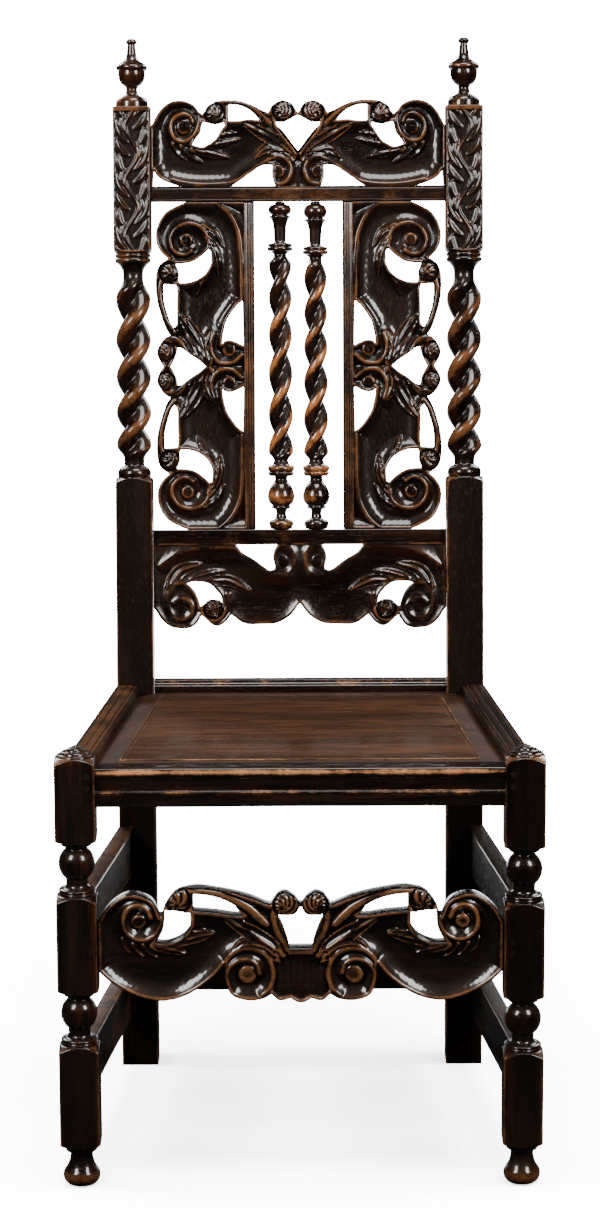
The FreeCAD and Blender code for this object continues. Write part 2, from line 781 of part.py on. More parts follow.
def peg_cylinder(name, s, radius, length, base, tilt):
    """A round peg or its hole, running back from a base point, bound to the sheet."""
    item = doc.addObject("Part::Cylinder", name)
    bind(item, "Radius", radius)
    bind(item, "Height", length)
    item.Placement = Placement(Vector(0, 0, 0), Rotation(Vector(1, 0, 0), -(tilt.value)))
    for axis, size in zip("xyz", base):
        bind(item, "Placement.Base." + axis, sized(size))
    bind(item, "Placement.Rotation.Angle", tilt)
    return item


def leg_peg_holes(s, name, side):
    """The holes of a leg's pegs, which also pierce the tenons behind."""
    holes = []
    for index, (across, height) in enumerate(leg_pegs(s, side)):
        base = (across, s.front_y - s.half - s.overrun, height)
        length = s.peg_length + s.overrun + s.fit_clearance
        radius = s.peg_radius + s.fit_clearance
        holes.append(peg_cylinder("%s_hole_%d" % (name, index), s, radius, length, base, s.quarter_turn))
    return holes


# Pieces


def keep(item, label):
    """Give a finished piece the name of its file."""
    item.Label = label
    nodes.append(item)


def assemble(label, base, added=(), removed=()):
    """Join tenons to a piece and cut its mortises and holes."""
    item = base
    if added:
        item = doc.addObject("Part::MultiFuse", label + "_with_tenons")
        item.Shapes = [base] + list(added)
        item.Refine = True
    if removed:
        tools = doc.addObject("Part::Compound", label + "_cutters")
        tools.Links = list(removed)
        cut = doc.addObject("Part::Cut", label + "_cut")
        cut.Base = item
        cut.Tool = tools
        item = cut
    keep(item, label)


def set_shape(label, shape, placement):
    """Keep a shape that is made in its own frame."""
    item = doc.addObject("Part::Feature", label + "_shape")
    item.Shape = shape
    item.Placement = placement
    keep(item, label)


def block_turning(s, base):
    """Corners of a front leg's turning between two blocks: ring, cove, ball, neck, lip and ovolo."""
    gap = s.turning_gap
    ring_low, ring_high = RING_HEIGHT_SHARES
    cove_end, cove_middle, cove_depth = COVE_SHARES
    ball_middle, ball_reach = [gap * share for share in BALL_SHARES]
    ball = base + ball_middle
    lip_neck, lip_low, lip_high = LIP_SHARES
    cove_radius = s.neck_radius + (s.ring_radius - s.neck_radius) * cove_depth
    return [
        (s.half, base),
        (s.ring_radius, base + gap * ring_low),
        (s.ring_radius, base + gap * ring_high),
        (s.neck_radius, base + gap * cove_end, cove_radius, base + gap * cove_middle),
        (s.neck_radius, ball - ball_reach),
        (s.neck_radius, ball + ball_reach, s.ball_radius, ball),
        (s.neck_radius, base + gap * lip_neck),
        (s.lip_radius, base + gap * lip_low),
        (s.lip_radius, base + gap * lip_high),
    ] + ovolo(s, base, gap, OVOLO_SHARES)


def ovolo(s, base, length, shares):
    """Corners of the round shoulder under a block."""
    start, end, middle, swell = shares
    middle_radius = s.lip_radius + (s.clear_radius - s.lip_radius) * swell
    return [
        (s.lip_radius, base + length * start),
        (s.clear_radius, base + length * end, middle_radius, base + length * middle),
    ]


def leg_outline(s):
    """Corners (radius, height) of the wood that the lathe takes away from a front leg."""
    foot = s.foot_height
    belly, waist, cove, neck = FOOT_SHARES
    lip_low, lip_high = FOOT_LIP_SHARES
    waist_radius = (s.neck_radius + s.foot_radius) / 2
    cove_radius = s.neck_radius + (s.foot_radius - s.neck_radius) * FOOT_COVE_SHARE
    rows = [
        (s.foot_base_radius, sized(0)),
        (waist_radius, foot * waist, s.foot_radius, foot * belly),
        (s.neck_radius, foot * neck, cove_radius, foot * cove),
        (s.lip_radius, foot * lip_low),
        (s.lip_radius, foot * lip_high),
    ] + ovolo(s, sized(0), foot, FOOT_OVOLO_SHARES)
    for base in (s.middle_gap_base, s.upper_gap_base):
        rows.append((s.clear_radius, base - s.block_shoulder))
        rows += block_turning(s, base)
    top, dome = s.top_block_top, s.dome_height
    waste_radius = s.clear_radius + s.overrun
    ring_across, ring_up, cove_across, cove_up, button_up = DOME_SHARES
    button_rise = dome * button_up
    ring_radius = (s.half + s.button_radius) * ring_across
    return rows + [
        (s.clear_radius, top - s.block_shoulder),
        (s.half, top),
        (ring_radius, top + dome * ring_up, s.half * cove_across, top + dome * cove_up),
        (s.button_radius, top + button_rise),
        cap(s.button_radius, top + button_rise, dome - button_rise),
        (sized(0), s.leg_top + s.overrun * 2),
        (waste_radius, s.leg_top + s.overrun * 2),
        (waste_radius, -s.overrun),
        (s.foot_base_radius, -s.overrun),
    ]


def make_front_leg(s, hand, side):
    """A front leg: a square billet turned between its blocks, with its mortises and peg holes."""
    name = "front_leg_" + hand
    body = doc.addObject("PartDesign::Body", name + "_billet")
    square = [(-s.half, -s.half), (s.half, -s.half), (s.half, s.half), (-s.half, s.half)]
    section = add_sketch(body, name + "_section", "XY_Plane", square)
    pad(body, name + "_length", section, s.leg_top + s.overrun)
    waste = add_sketch(body, name + "_waste", "XZ_Plane", leg_outline(s))
    groove = body.newObject("PartDesign::Groove", name + "_lathe_cut")
    groove.Profile = waste
    groove.ReferenceAxis = (waste, ["V_Axis"])
    groove.Angle = FULL_TURN
    bind(body, "Placement.Base.x", side * s.leg_x)
    bind(body, "Placement.Base.y", s.front_y)
    tenons = [front_rail_tenon(s, side), front_stretcher_tenon(s, side)]
    tenons += [long_tenons(s, side, line, base, width)[0] for _, line, base, width, _ in side_members(s)]
    mortises = []
    for index, tenon in enumerate(tenons):
        mortises.append(tenon.grown(s.fit_clearance).box("%s_mortise_%d" % (name, index)))
    assemble(name, body, removed=mortises + leg_peg_holes(s, name, side))


def upper_turnings(s):
    """The two turned ends of a post's column and its carved block, in the back frame."""
    base = s.post_plain - s.block_shoulder - s.half
    cushion, collar = s.cushion_height, s.collar_height
    fillet_low, fillet_high = CUSHION_FILLET_SHARES
    cushion_top, swell, swell_up = CUSHION_SHARES
    foot = [
        (sized(0), base),
        (s.clear_radius, base),
        (s.clear_radius, s.post_plain - s.block_shoulder),
        (s.half, s.post_plain),
        (s.cushion_radius, s.post_plain + cushion * fillet_low),
        (s.cushion_radius, s.post_plain + cushion * fillet_high),
        (
            s.twist_neck_radius,
            s.post_plain + cushion * cushion_top,
            s.cushion_radius * swell,
            s.post_plain + cushion * swell_up,
        ),
        (s.twist_neck_radius, s.twist_start),
        (sized(0), s.twist_start),
    ]
    flare_up, flare_radius, hollow_up, hollow = COLLAR_FLARE_SHARES
    ring_low, ring_high = COLLAR_RING_SHARES
    head = [
        (sized(0), s.twist_end),
        (s.twist_neck_radius, s.twist_end),
        (
            s.collar_radius * flare_radius,
            s.twist_end + collar * flare_up,
            s.twist_neck_radius + (s.collar_radius - s.twist_neck_radius) * hollow,
            s.twist_end + collar * hollow_up,
        ),
        (s.collar_radius, s.twist_end + collar * ring_low),
        (s.collar_radius, s.twist_end + collar * ring_high),
        (s.half, s.carved_base),
        (s.clear_radius, s.carved_base + s.carved_chamfer),
        (s.clear_radius, s.post_top),
        (sized(0), s.post_top),
    ]
    billet = Block((-s.half, s.half), (-s.half, s.half), (base, s.post_top)).solid()
    return base, [turned_solid(foot).common(billet), turned_solid(head).common(billet)]


def post_lower_solid(s, rise):
    """The square lower post, bent at the seat, up to a rise along the lean, in the post's frame."""
    half, rake = s.half.value, math.radians(s.rake.value)
    bend = s.bend_height.value
    mitre = half * math.tan(rake / 2)
    top = Vector(0, rise.value * math.sin(rake), bend + rise.value * math.cos(rake))
    across_lean = Vector(0, half * math.cos(rake), -half * math.sin(rake))
    points = [
        Vector(0, -half, 0),
        Vector(0, -half, bend + mitre),
        top - across_lean,
        top + across_lean,
        Vector(0, half, bend - mitre),
        Vector(0, half, 0),
    ]
    face = Part.Face(Part.makePolygon(points + points[:1]))
    return moved(face.extrude(Vector(s.stock.value, 0, 0)), Vector(-half, 0, 0))


def make_rear_post(s, hand, side):
    """A rear post: one bent billet with a plain foot, a twist, a carved block and its mortises."""
    base, ends = upper_turnings(s)
    lobe = (s.twist_lobe_radius, s.twist_lobe_offset)
    twist = twist_solid(s.twist_start, s.twist_end, *lobe, s.twist_neck_radius, s.twist_lead)
    column = joined(ends[0], [twist, ends[1]])
    axis = Vector(side * s.post_x.value, 0, 0)
    tenons = [tenon.grown(s.fit_clearance).solid(axis) for tenon in back_tenons(s, side)]
    spigot = s.spigot_length + s.fit_clearance
    radius = (s.spigot_radius + s.fit_clearance).value
    start = Vector(0, 0, (s.post_top - spigot).value)
    tenons.append(Part.makeCylinder(radius, (spigot + s.overrun).value, start))
    hole_radius = (s.peg_radius + s.fit_clearance).value
    hole_length = (s.peg_length + s.overrun + s.fit_clearance).value
    for across, rise in post_pegs(s, side):
        start = Vector((across - side * s.post_x).value, -(s.half + s.overrun).value, rise.value)
        tenons.append(Part.makeCylinder(hole_radius, hole_length, start, Vector(0, 1, 0)))
    lean = Placement(Vector(0, 0, s.bend_height.value), Rotation(Vector(1, 0, 0), -s.rake.value))
    column.Placement = lean
    for tool in tenons:
        tool.Placement = lean.multiply(tool.Placement)
    foot = Vector(side * s.post_x.value, s.rear_y.value, 0)
    lower_tenons = [rear_rail_tenon(s, side), rear_stretcher_tenon(s, side)]
    lower_tenons += [long_tenons(s, side, line, low, width)[1] for _, line, low, width, _ in side_members(s)]
    tools = tenons + [tenon.grown(s.fit_clearance).solid(foot) for tenon in lower_tenons]
    post = joined(post_lower_solid(s, base), [column])
    set_shape("rear_post_" + hand, post.cut(tools), Placement(foot, Rotation()))


def make_finial(s, hand, side):
    """A turned finial with a spigot that enters the top of its post."""
    name = "finial_" + hand
    body = doc.addObject("PartDesign::Body", name + "_turning")
    outline = [
        (sized(0), -s.spigot_length),
        (s.spigot_radius, -s.spigot_length),
        (s.spigot_radius, sized(0)),
    ] + turning(FINIAL_SHARES, sized(0), s.finial_height, s.finial_radius)
    tip_radius, tip = outline[-1]
    outline.append(cap(tip_radius, tip, s.finial_height - tip))
    sketch = add_sketch(body, name + "_outline", "XZ_Plane", outline)
    turn = body.newObject("PartDesign::Revolution", name + "_turn")
    turn.Profile = sketch
    turn.ReferenceAxis = (sketch, ["V_Axis"])
    turn.Angle = FULL_TURN
    body.Placement = Placement(Vector(0, 0, 0), Rotation(Vector(1, 0, 0), -s.rake.value))
    deep, high = in_back_frame(s, s.post_top, sized(0))
    for axis, size in zip("xyz", (side * s.post_x, deep, high)):
        bind(body, "Placement.Base." + axis, size)
    bind(body, "Placement.Rotation.Angle", -s.rake)
    keep(body, name)


def make_front_rail(s, panel_groove):
    """The front seat rail, with a rounded nosing, a bead and a groove for the panel."""
    body = doc.addObject("PartDesign::Body", "seat_rail_front_moulding")
    rear = s.front_rail_setback + s.front_rail_thickness - s.half
    nose = s.front_rail_setback - s.half
    face = nose + s.nosing_reach
    top, low = s.seat_height, s.rail_base
    nosing = top - s.nosing_height
    reach = s.nosing_reach
    nose_in, nose_up = NOSE_SHARES
    hollow_up, hollow_in, hollow_down = HOLLOW_SHARES
    bead_up, bead_out, bead_middle = BEAD_SHARES
    bead = low + (nosing - low) * bead_up
    outline = [
        (rear, low),
        (rear, top),
        (face, top),
        (nose + reach * nose_in, nosing, nose, top - s.nosing_height * nose_up),
        (face, bead + reach * hollow_up, face - reach * hollow_in, nosing - s.nosing_height * hollow_down),
        (face, bead, face - reach * bead_out, bead + reach * bead_middle),
        (face, low),
    ]
    section = add_sketch(body, "seat_rail_front_section", "YZ_Plane", outline)
    pad(body, "seat_rail_front_length", section, s.leg_inner * 2, symmetric=True)
    bind(body, "Placement.Base.y", s.front_y)
    tenons = [front_rail_tenon(s, side).box("seat_rail_front_tenon_" + hand) for hand, side in HANDS]
    holes = []
    for hand, side in HANDS:
        holes += leg_peg_holes(s, "seat_rail_front_" + hand, side)[:2]
    groove = [panel_groove("seat_rail_front_groove")]
    assemble("seat_rail_front", body, tenons, groove + holes)


def make_rear_rail(s, panel_groove):
    """The rear seat rail, between the posts."""
    deep = (s.rear_rail_front, s.rear_rail_front + s.rear_rail_thickness)
    bar = Block((-s.post_inner, s.post_inner), deep, (s.rail_base, s.seat_height))
    rail = bar.box("seat_rail_rear_length")
    tenons = [rear_rail_tenon(s, side).box("seat_rail_rear_tenon_" + hand) for hand, side in HANDS]
    assemble("seat_rail_rear", rail, tenons, [panel_groove("seat_rail_rear_groove")])


def make_side_member(s, name, hand, side, line, base, width, grooves):
    """A side rail or stretcher: a tapered plan between leg and post, with a tenon at each end."""
    label = "%s_%s" % (name, hand)
    outer_front, outer_rear, inner_front, inner_rear = line
    body = doc.addObject("PartDesign::Body", label + "_length")
    outline = [
        (side * outer_front, s.leg_rear),
        (side * outer_rear, s.post_front),
        (side * inner_rear, s.post_front),
        (side * inner_front, s.leg_rear),
    ]
    plan = add_sketch(body, label + "_plan", "XY_Plane", outline)
    pad(body, label + "_width", plan, width)
    bind(body, "Placement.Base.z", base)
    tenons = []
    for index, tenon in enumerate(long_tenons(s, side, line, base, width)):
        tenons.append(tenon.box("%s_tenon_%d" % (label, index)))
    assemble(label, body, tenons, grooves)


def make_rear_stretcher(s):
    """The plain rear stretcher, between the posts."""
    front = s.post_front + s.rear_stretcher_setback
    high = (s.rear_stretcher_rise, s.rear_stretcher_rise + s.rear_stretcher_width)
    deep = (front, front + s.rear_stretcher_thickness)
    bar = Block((-s.post_inner, s.post_inner), deep, high).box("stretcher_rear_length")
    tenons = [rear_stretcher_tenon(s, side).box("stretcher_rear_tenon_" + hand) for hand, side in HANDS]
    assemble("stretcher_rear", bar, tenons)


def panel_half_plan(s, tongue, margin):
    """Right half of the panel's plan, notched round the legs and the posts.

    The tongue is how far it enters the rails, and the margin moves its edges out for a groove.
    """
    _, _, inner_front, inner_rear = rail_line(s)
    gap = s.fit_clearance
    reach = tongue + margin
    return [
        (s.leg_inner - gap + margin, s.front_rail_rear - reach),
        (s.leg_inner - gap + margin, s.leg_rear + gap - margin),
        (inner_front + reach, s.leg_rear + gap - margin),
        (inner_rear + reach, s.post_front - gap + margin),
        (s.post_inner - gap + margin, s.post_front - gap + margin),
        (s.post_inner - gap + margin, s.rear_rail_front + reach),
    ]


def panel_plate(s, name, tongue, margin, low, high):
    """A plate of the panel's plan between two heights."""
    half = panel_half_plan(s, tongue, margin)
    outline = half + [(-across, deep) for across, deep in reversed(half)]
    body = doc.addObject("PartDesign::Body", name)
    pad(body, name + "_thickness", add_sketch(body, name + "_plan", "XY_Plane", outline), high - low)
    bind(body, "Placement.Base.z", low)
    return body


def make_seat_panel(s):
    """The seat panel: tongues in the rails, and a raised field with bevels down to the rails."""
    top = s.seat_height - s.tongue_drop
    tongues = panel_plate(s, "panel_tongues", s.tongue_depth, sized(0), top - s.tongue_thickness, top)
    sight = panel_plate(s, "panel_sight", -s.fit_clearance, sized(0), top - s.tongue_thickness, s.seat_height)
    _, _, inner_front, inner_rear = rail_line(s)
    body = doc.addObject("PartDesign::Body", "panel_field")
    front, rear = s.front_rail_rear, s.rear_rail_front
    slope = (inner_front - inner_rear) / (s.post_front - s.leg_rear)

    def corner(deep, bevel):
        """Half width of the panel at a place front to back, less a bevel."""
        return inner_front - (deep - s.leg_rear) * slope - bevel

    def trapezoid(inset_front, inset_rear, bevel):
        """Outline at insets from the front, the rear and the sides."""
        near, far = front + inset_front, rear - inset_rear
        half = [(corner(near, bevel), near), (corner(far, bevel), far)]
        return half + [(-across, deep) for across, deep in reversed(half)]

    wide = add_sketch(body, "panel_wide", "XY_Plane", trapezoid(sized(0), sized(0), sized(0)))
    field = trapezoid(s.front_bevel, s.rear_bevel, s.side_bevel)
    raised = add_sketch(body, "panel_raised", "XY_Plane", field, lift=s.panel_rise)
    loft = body.newObject("PartDesign::AdditiveLoft", "panel_bevels")
    loft.Profile = wide
    loft.Sections = [raised]
    bind(body, "Placement.Base.z", top)
    trimmed = doc.addObject("Part::Common", "panel_field_trimmed")
    trimmed.Base = body
    trimmed.Tool = sight
    assemble("seat_panel", tongues, [trimmed])


def mirrored_edges(runs, across, up, base):
    """Edges of a whole outline from the runs of its right half."""
    return spline_edges(runs, across, up, base) + spline_edges(runs, across, up, base, mirror=-1)


def carved_board(s, edge, shield, holes, across, up, base, front, thickness):
    """A board with a mirrored outline and pierced holes."""
    bottom = base + up * edge[-1][-1][1]
    edges = mirrored_edges(edge, across, up, base)
    if edge[-1][-1][0]:
        ends = [Vector(mirror * across.value, 0, bottom.value) for mirror in (-1, 1)]
        edges.append(Part.LineSegment(*ends).toShape())
    solid = board_solid(edges, front, thickness)
    margin = s.overrun
    tools = []
    if shield:
        outline = mirrored_edges(shield, across, up, base)
        tools.append(board_solid(outline, front - margin, thickness + margin * 2))
    for hole in holes:
        for mirror in (-1, 1):
            outline = spline_edges(hole, across, up, base, mirror)
            tools.append(board_solid(outline, front - margin, thickness + margin * 2))
    return solid.cut(tools)


def back_cutters(s, which):
    """Mortises of the splats and spindles in the lower board (0) or in the crest (1)."""
    tools = []
    for _, side in HANDS:
        tools.append(splat_tenons(s, side)[which].grown(s.fit_clearance).solid())
        tools.append(spindle_bores(s, side, s.fit_clearance)[which])
    return tools


def make_crest(s):
    """The carved crest rail and its bar, tenoned into the posts."""
    board = carved_board(
        s, CREST_TOP_SHARES, CREST_SHIELD_SHARES, CREST_HOLE_SHARES, s.post_inner, s.crest_width,
        s.crest_rise, s.board_front, s.board_thickness
    )
    tenons = [tenon.solid() for _, side in HANDS for tenon in back_tenons(s, side)[1:]]
    set_shape("crest_rail", joined(board, tenons).cut(back_cutters(s, 1)), back_frame(s))


def make_lower_board(s):
    """The carved lower rail of the back, tenoned into the posts and drilled for its pegs."""
    board = carved_board(
        s, LOWER_EDGE_SHARES, None, LOWER_HOLE_SHARES, s.post_inner, s.lower_board_width, s.lower_board_rise,
        s.board_front, s.board_thickness
    )
    tenons = [back_tenons(s, side)[0].solid() for _, side in HANDS]
    tools = back_cutters(s, 0)
    for _, side in HANDS:
        for across, rise in post_pegs(s, side):
            start = Vector(across.value, -s.half.value, rise.value)
            radius = (s.peg_radius + s.fit_clearance).value
            tools.append(Part.makeCylinder(radius, s.stock.value, start, Vector(0, 1, 0)))
    set_shape("lower_back_rail", joined(board, tenons).cut(tools), back_frame(s))


def make_splat(s, hand, side):
    """A pierced splat with a straight inner edge, the same above and below its middle."""
    half = s.splat_height / 2
    middle = s.lower_bar_top + half

    def whole(runs, up):
        """Edges of runs, given for the upper half, above or below the middle."""
        return spline_edges(runs, s.splat_width, up, middle, side)

    inner = [Vector(0, 0, (middle + step * half).value) for step in (-1, 1)]
    edges = whole(SPLAT_EDGE_SHARES, half) + whole(SPLAT_EDGE_SHARES, -half)
    edges.append(Part.LineSegment(*inner).toShape())
    front = s.board_middle - s.splat_thickness / 2
    solid = board_solid(edges, front, s.splat_thickness)
    outlines = [whole(SPLAT_WAIST_SHARES, half) + whole(SPLAT_WAIST_SHARES, -half)]
    outlines += [whole(hole, up) for hole in SPLAT_HOLE_SHARES for up in (half, -half)]
    depth = s.splat_thickness + s.overrun * 2
    solid = solid.cut([board_solid(outline, front - s.overrun, depth) for outline in outlines])
    solid = moved(solid, Vector(side * s.splat_inset.value, 0, 0))
    tenons = [tenon.solid() for tenon in splat_tenons(s, side)]
    set_shape("splat_" + hand, joined(solid, tenons), back_frame(s))


def make_spindle(s, hand, side):
    """A twisted spindle with turned ends and round tenons, on its own axis."""
    length = s.splat_height
    foot_end, head_end = s.spindle_foot, length - s.spindle_head
    foot = [(sized(0), sized(0))] + turning(SPINDLE_FOOT_SHARES, sized(0), s.spindle_foot, s.spindle_radius)
    foot += [(s.spindle_neck_radius, foot_end), (sized(0), foot_end)]
    head = [(sized(0), length)] + turning(SPINDLE_HEAD_SHARES, length, -s.spindle_head, s.spindle_radius)
    head += [(s.spindle_neck_radius, head_end), (sized(0), head_end)]
    lobe = (s.spindle_lobe_radius, s.spindle_lobe_offset)
    twist = twist_solid(foot_end, head_end, *lobe, s.spindle_neck_radius, s.spindle_lead)
    across, deep = side * s.spindle_spread.value, s.board_middle.value
    offset = Vector(-across, -deep, -s.lower_bar_top.value)
    tenons = [moved(bore, offset) for bore in spindle_bores(s, side, sized(0))]
    solid = joined(turned_solid(foot), [twist, turned_solid(head)] + tenons)
    base = Placement(Vector(across, deep, s.lower_bar_top.value), Rotation())
    set_shape("spindle_" + hand, solid, back_frame(s).multiply(base))


def make_front_stretcher(s):
    """The pierced and carved front stretcher, tenoned into the legs and drilled for its pegs."""
    front = s.front_stretcher_setback - s.half
    board = carved_board(
        s, STRETCHER_TOP_SHARES, STRETCHER_SHIELD_SHARES, STRETCHER_HOLE_SHARES, s.leg_inner,
        s.front_stretcher_width, s.front_stretcher_rise, front, s.front_stretcher_thickness
    )
    origin = Vector(0, s.front_y.value, 0)
    tenons = [front_stretcher_tenon(s, side).solid(origin) for _, side in HANDS]
    tools = []
    for _, side in HANDS:
        for across, height in leg_pegs(s, side)[2:]:
            start = Vector(across.value, -s.half.value, height.value)
            radius = (s.peg_radius + s.fit_clearance).value
            tools.append(Part.makeCylinder(radius, s.stock.value, start, Vector(0, 1, 0)))
    set_shape("stretcher_front", joined(board, tenons).cut(tools), Placement(origin, Rotation()))


def make_pegs(s):
    """All the oak pegs, alike, as one set."""
    pegs = []
    length = s.peg_length + s.peg_proud
    for hand, side in HANDS:
        for index, (across, height) in enumerate(leg_pegs(s, side)):
            base = (across, s.front_y - s.half - s.peg_proud, height)
            name = "leg_peg_%s_%d" % (hand, index)
            pegs.append(peg_cylinder(name, s, s.peg_radius, length, base, s.quarter_turn))
        for index, (across, rise) in enumerate(post_pegs(s, side)):
            deep, high = in_back_frame(s, rise, -s.half - s.peg_proud)
            tilt = s.quarter_turn - s.rake
            base = (across, deep, high)
            name = "post_peg_%s_%d" % (hand, index)
            pegs.append(peg_cylinder(name, s, s.peg_radius, length, base, tilt))
    group = doc.addObject("Part::Compound", "oak_pegs_set")
    group.Links = pegs
    keep(group, "oak_pegs")


HANDS = (("left", -1), ("right", 1))

doc = FreeCAD.newDocument("WainscotChair")
nodes = []
sizes = Sizes(make_sheet())
sizes.quarter_turn = sized(-FULL_TURN / 4)
lay_out(sizes)


def panel_groove(name):
    """A cutter for the grooves that take the panel's tongues."""
    top = sizes.seat_height - sizes.tongue_drop
    low = top - sizes.tongue_thickness - sizes.fit_clearance
    return panel_plate(sizes, name, sizes.tongue_depth, sizes.fit_clearance, low, top + sizes.fit_clearance)


for hand, side in HANDS:
    make_front_leg(sizes, hand, side)
    make_rear_post(sizes, hand, side)
    make_finial(sizes, hand, side)
    make_splat(sizes, hand, side)
    make_spindle(sizes, hand, side)
    for name, line, base, width, holds_panel in side_members(sizes):
        grooves = [panel_groove("%s_%s_groove" % (name, hand))] if holds_panel else []
        make_side_member(sizes, name, hand, side, line, base, width, grooves)
make_front_rail(sizes, panel_groove)
make_rear_rail(sizes, panel_groove)
make_rear_stretcher(sizes)
make_seat_panel(sizes)
make_crest(sizes)
make_lower_board(sizes)
make_front_stretcher(sizes)
make_pegs(sizes)

doc.recompute()
for item in doc.Objects:
    if "Invalid" in item.State or "Error" in item.State:
        raise RuntimeError("%s failed: %s" % (item.Name, item.State))
for node in nodes:
    if node.Shape.isNull() or not node.Shape.isValid():
        raise RuntimeError("%s has no valid shape" % node.Label)

os.makedirs("parts", exist_ok=True)
for node in nodes:
    node.Shape.exportStep("parts/%s.step" % node.Label)
    print("%s: %d solid(s), %.0f mm3" % (node.Label, len(node.Shape.Solids), node.Shape.Volume))
box = Part.makeCompound([node.Shape for node in nodes]).BoundBox
for axis in "XYZ":
    print("%s from %.2f to %.2f" % (axis, getattr(box, axis + "Min"), getattr(box, axis + "Max")))
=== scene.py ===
# %% [markdown]
# # A joined oak chair of the late seventeenth century
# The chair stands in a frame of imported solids. Each visible piece is worked out here as a surface:
# the turned and twisted members, the pierced and carved boards, the moulded rails and the seat.

# %% Load the frame
import math

import bpy
import numpy as np
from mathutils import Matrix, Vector


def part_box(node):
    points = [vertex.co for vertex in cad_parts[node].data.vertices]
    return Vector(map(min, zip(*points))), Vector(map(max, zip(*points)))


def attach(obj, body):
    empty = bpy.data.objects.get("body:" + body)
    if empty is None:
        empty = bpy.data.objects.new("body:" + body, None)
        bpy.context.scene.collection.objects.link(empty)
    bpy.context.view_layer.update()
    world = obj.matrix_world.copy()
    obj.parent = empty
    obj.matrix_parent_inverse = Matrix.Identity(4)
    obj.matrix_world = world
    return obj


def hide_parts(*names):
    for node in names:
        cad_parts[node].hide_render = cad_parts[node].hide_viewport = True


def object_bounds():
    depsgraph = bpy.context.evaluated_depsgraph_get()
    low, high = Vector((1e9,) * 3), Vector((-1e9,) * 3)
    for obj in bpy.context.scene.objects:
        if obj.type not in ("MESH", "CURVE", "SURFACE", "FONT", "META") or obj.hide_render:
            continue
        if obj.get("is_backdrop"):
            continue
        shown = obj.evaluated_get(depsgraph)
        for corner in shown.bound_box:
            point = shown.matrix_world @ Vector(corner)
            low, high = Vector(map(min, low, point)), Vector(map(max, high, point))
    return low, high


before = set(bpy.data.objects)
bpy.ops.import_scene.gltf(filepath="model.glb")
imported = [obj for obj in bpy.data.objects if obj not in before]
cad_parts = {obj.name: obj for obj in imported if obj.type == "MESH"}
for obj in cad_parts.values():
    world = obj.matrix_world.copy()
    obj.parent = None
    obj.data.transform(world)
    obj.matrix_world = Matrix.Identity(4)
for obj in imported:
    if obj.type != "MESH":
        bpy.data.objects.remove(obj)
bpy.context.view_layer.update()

# %% [markdown]
# ## Camera
# The photograph was taken with a long lens, a little above the seat and looking slightly down. The
# lens and the place were worked out from the chair's own straight and level lines.

# %% Camera
CAMERA_PLACE = (0.0084, -3.7631, 1.2906)
CAMERA_TURN = (79.258, 0.267, 0.072)
CAMERA_LENS = 101.3

camera_data = bpy.data.cameras.new("camera")
camera_data.lens = CAMERA_LENS
camera_data.clip_end = 50
camera = bpy.data.objects.new("camera", camera_data)
camera.location = CAMERA_PLACE
camera.rotation_euler = [math.radians(angle) for angle in CAMERA_TURN]
bpy.context.collection.objects.link(camera)
bpy.context.scene.camera = camera
print("lens", CAMERA_LENS)

# %% [markdown]
# ## Node helpers
# Materials and light are trees of nodes. Each node could be added by hand in many lines, so short
# helpers add one, give its sockets a value or a link, and do sums. The floor, the room and the oak
# all use them.

# %% Node helpers
SIGNS = {"+": "ADD", "-": "SUBTRACT", "*": "MULTIPLY"}


def feed(tree, socket, value):
    """Give a socket a value or a link from another. A colour of three numbers gets an alpha of 1."""
    if isinstance(value, bpy.types.NodeSocket):
        tree.links.new(value, socket)
    else:
        socket.default_value = (*value, 1)[:4] if socket.type == "RGBA" else value


def add_node(tree, kind, settings=None, **inputs):
    """Add a node and feed its inputs. A socket is named, or given by _ and its number."""
    node = tree.nodes.new(kind)
    for key, value in (settings or {}).items():
        setattr(node, key, value)
    for key, value in inputs.items():
        feed(tree, node.inputs[int(key[1:]) if key[0] == "_" else key.replace("_", " ")], value)
    return node


def calc(tree, value, *steps):
    """A running sum or product. Each step is a sign and the number or socket after it."""
    for sign, number in zip(steps[::2], steps[1::2]):
        value = add_node(tree, "ShaderNodeMath", {"operation": SIGNS[sign]}, _0=value, _1=number).outputs[0]
    return value


def remap(tree, value, low, high, new_low=0.0):
    """Bring values between low and high to the range from new_low to 1, smoothly at both ends."""
    return add_node(tree, "ShaderNodeMapRange", {"interpolation_type": "SMOOTHSTEP"},
                    Value=value, From_Min=low, From_Max=high, To_Min=new_low).outputs[0]


def blend(tree, share, first, second):
    """Mix two colours by a share."""
    return add_node(tree, "ShaderNodeMix", {"data_type": "RGBA"}, _0=share, _6=first, _7=second).outputs[2]


def split_by_ray(tree, hidden, seen, output):
    """Show one shader to the camera and another to every other ray."""
    ray = add_node(tree, "ShaderNodeLightPath").outputs["Is Camera Ray"]
    mixed = add_node(tree, "ShaderNodeMixShader", _0=ray, _1=hidden, _2=seen)
    tree.links.new(mixed.outputs[0], output.inputs["Surface"])


# %% [markdown]
# ## Floor
# The photograph shows a dark polished chair on a white sweep. White paper round the chair would fill
# every hollow with pale reflections, so the floor is split: the camera sees white paper, while the
# chair's own reflections see a dark one. Away from the chair the paper glows, so it fades evenly
# into the white behind.

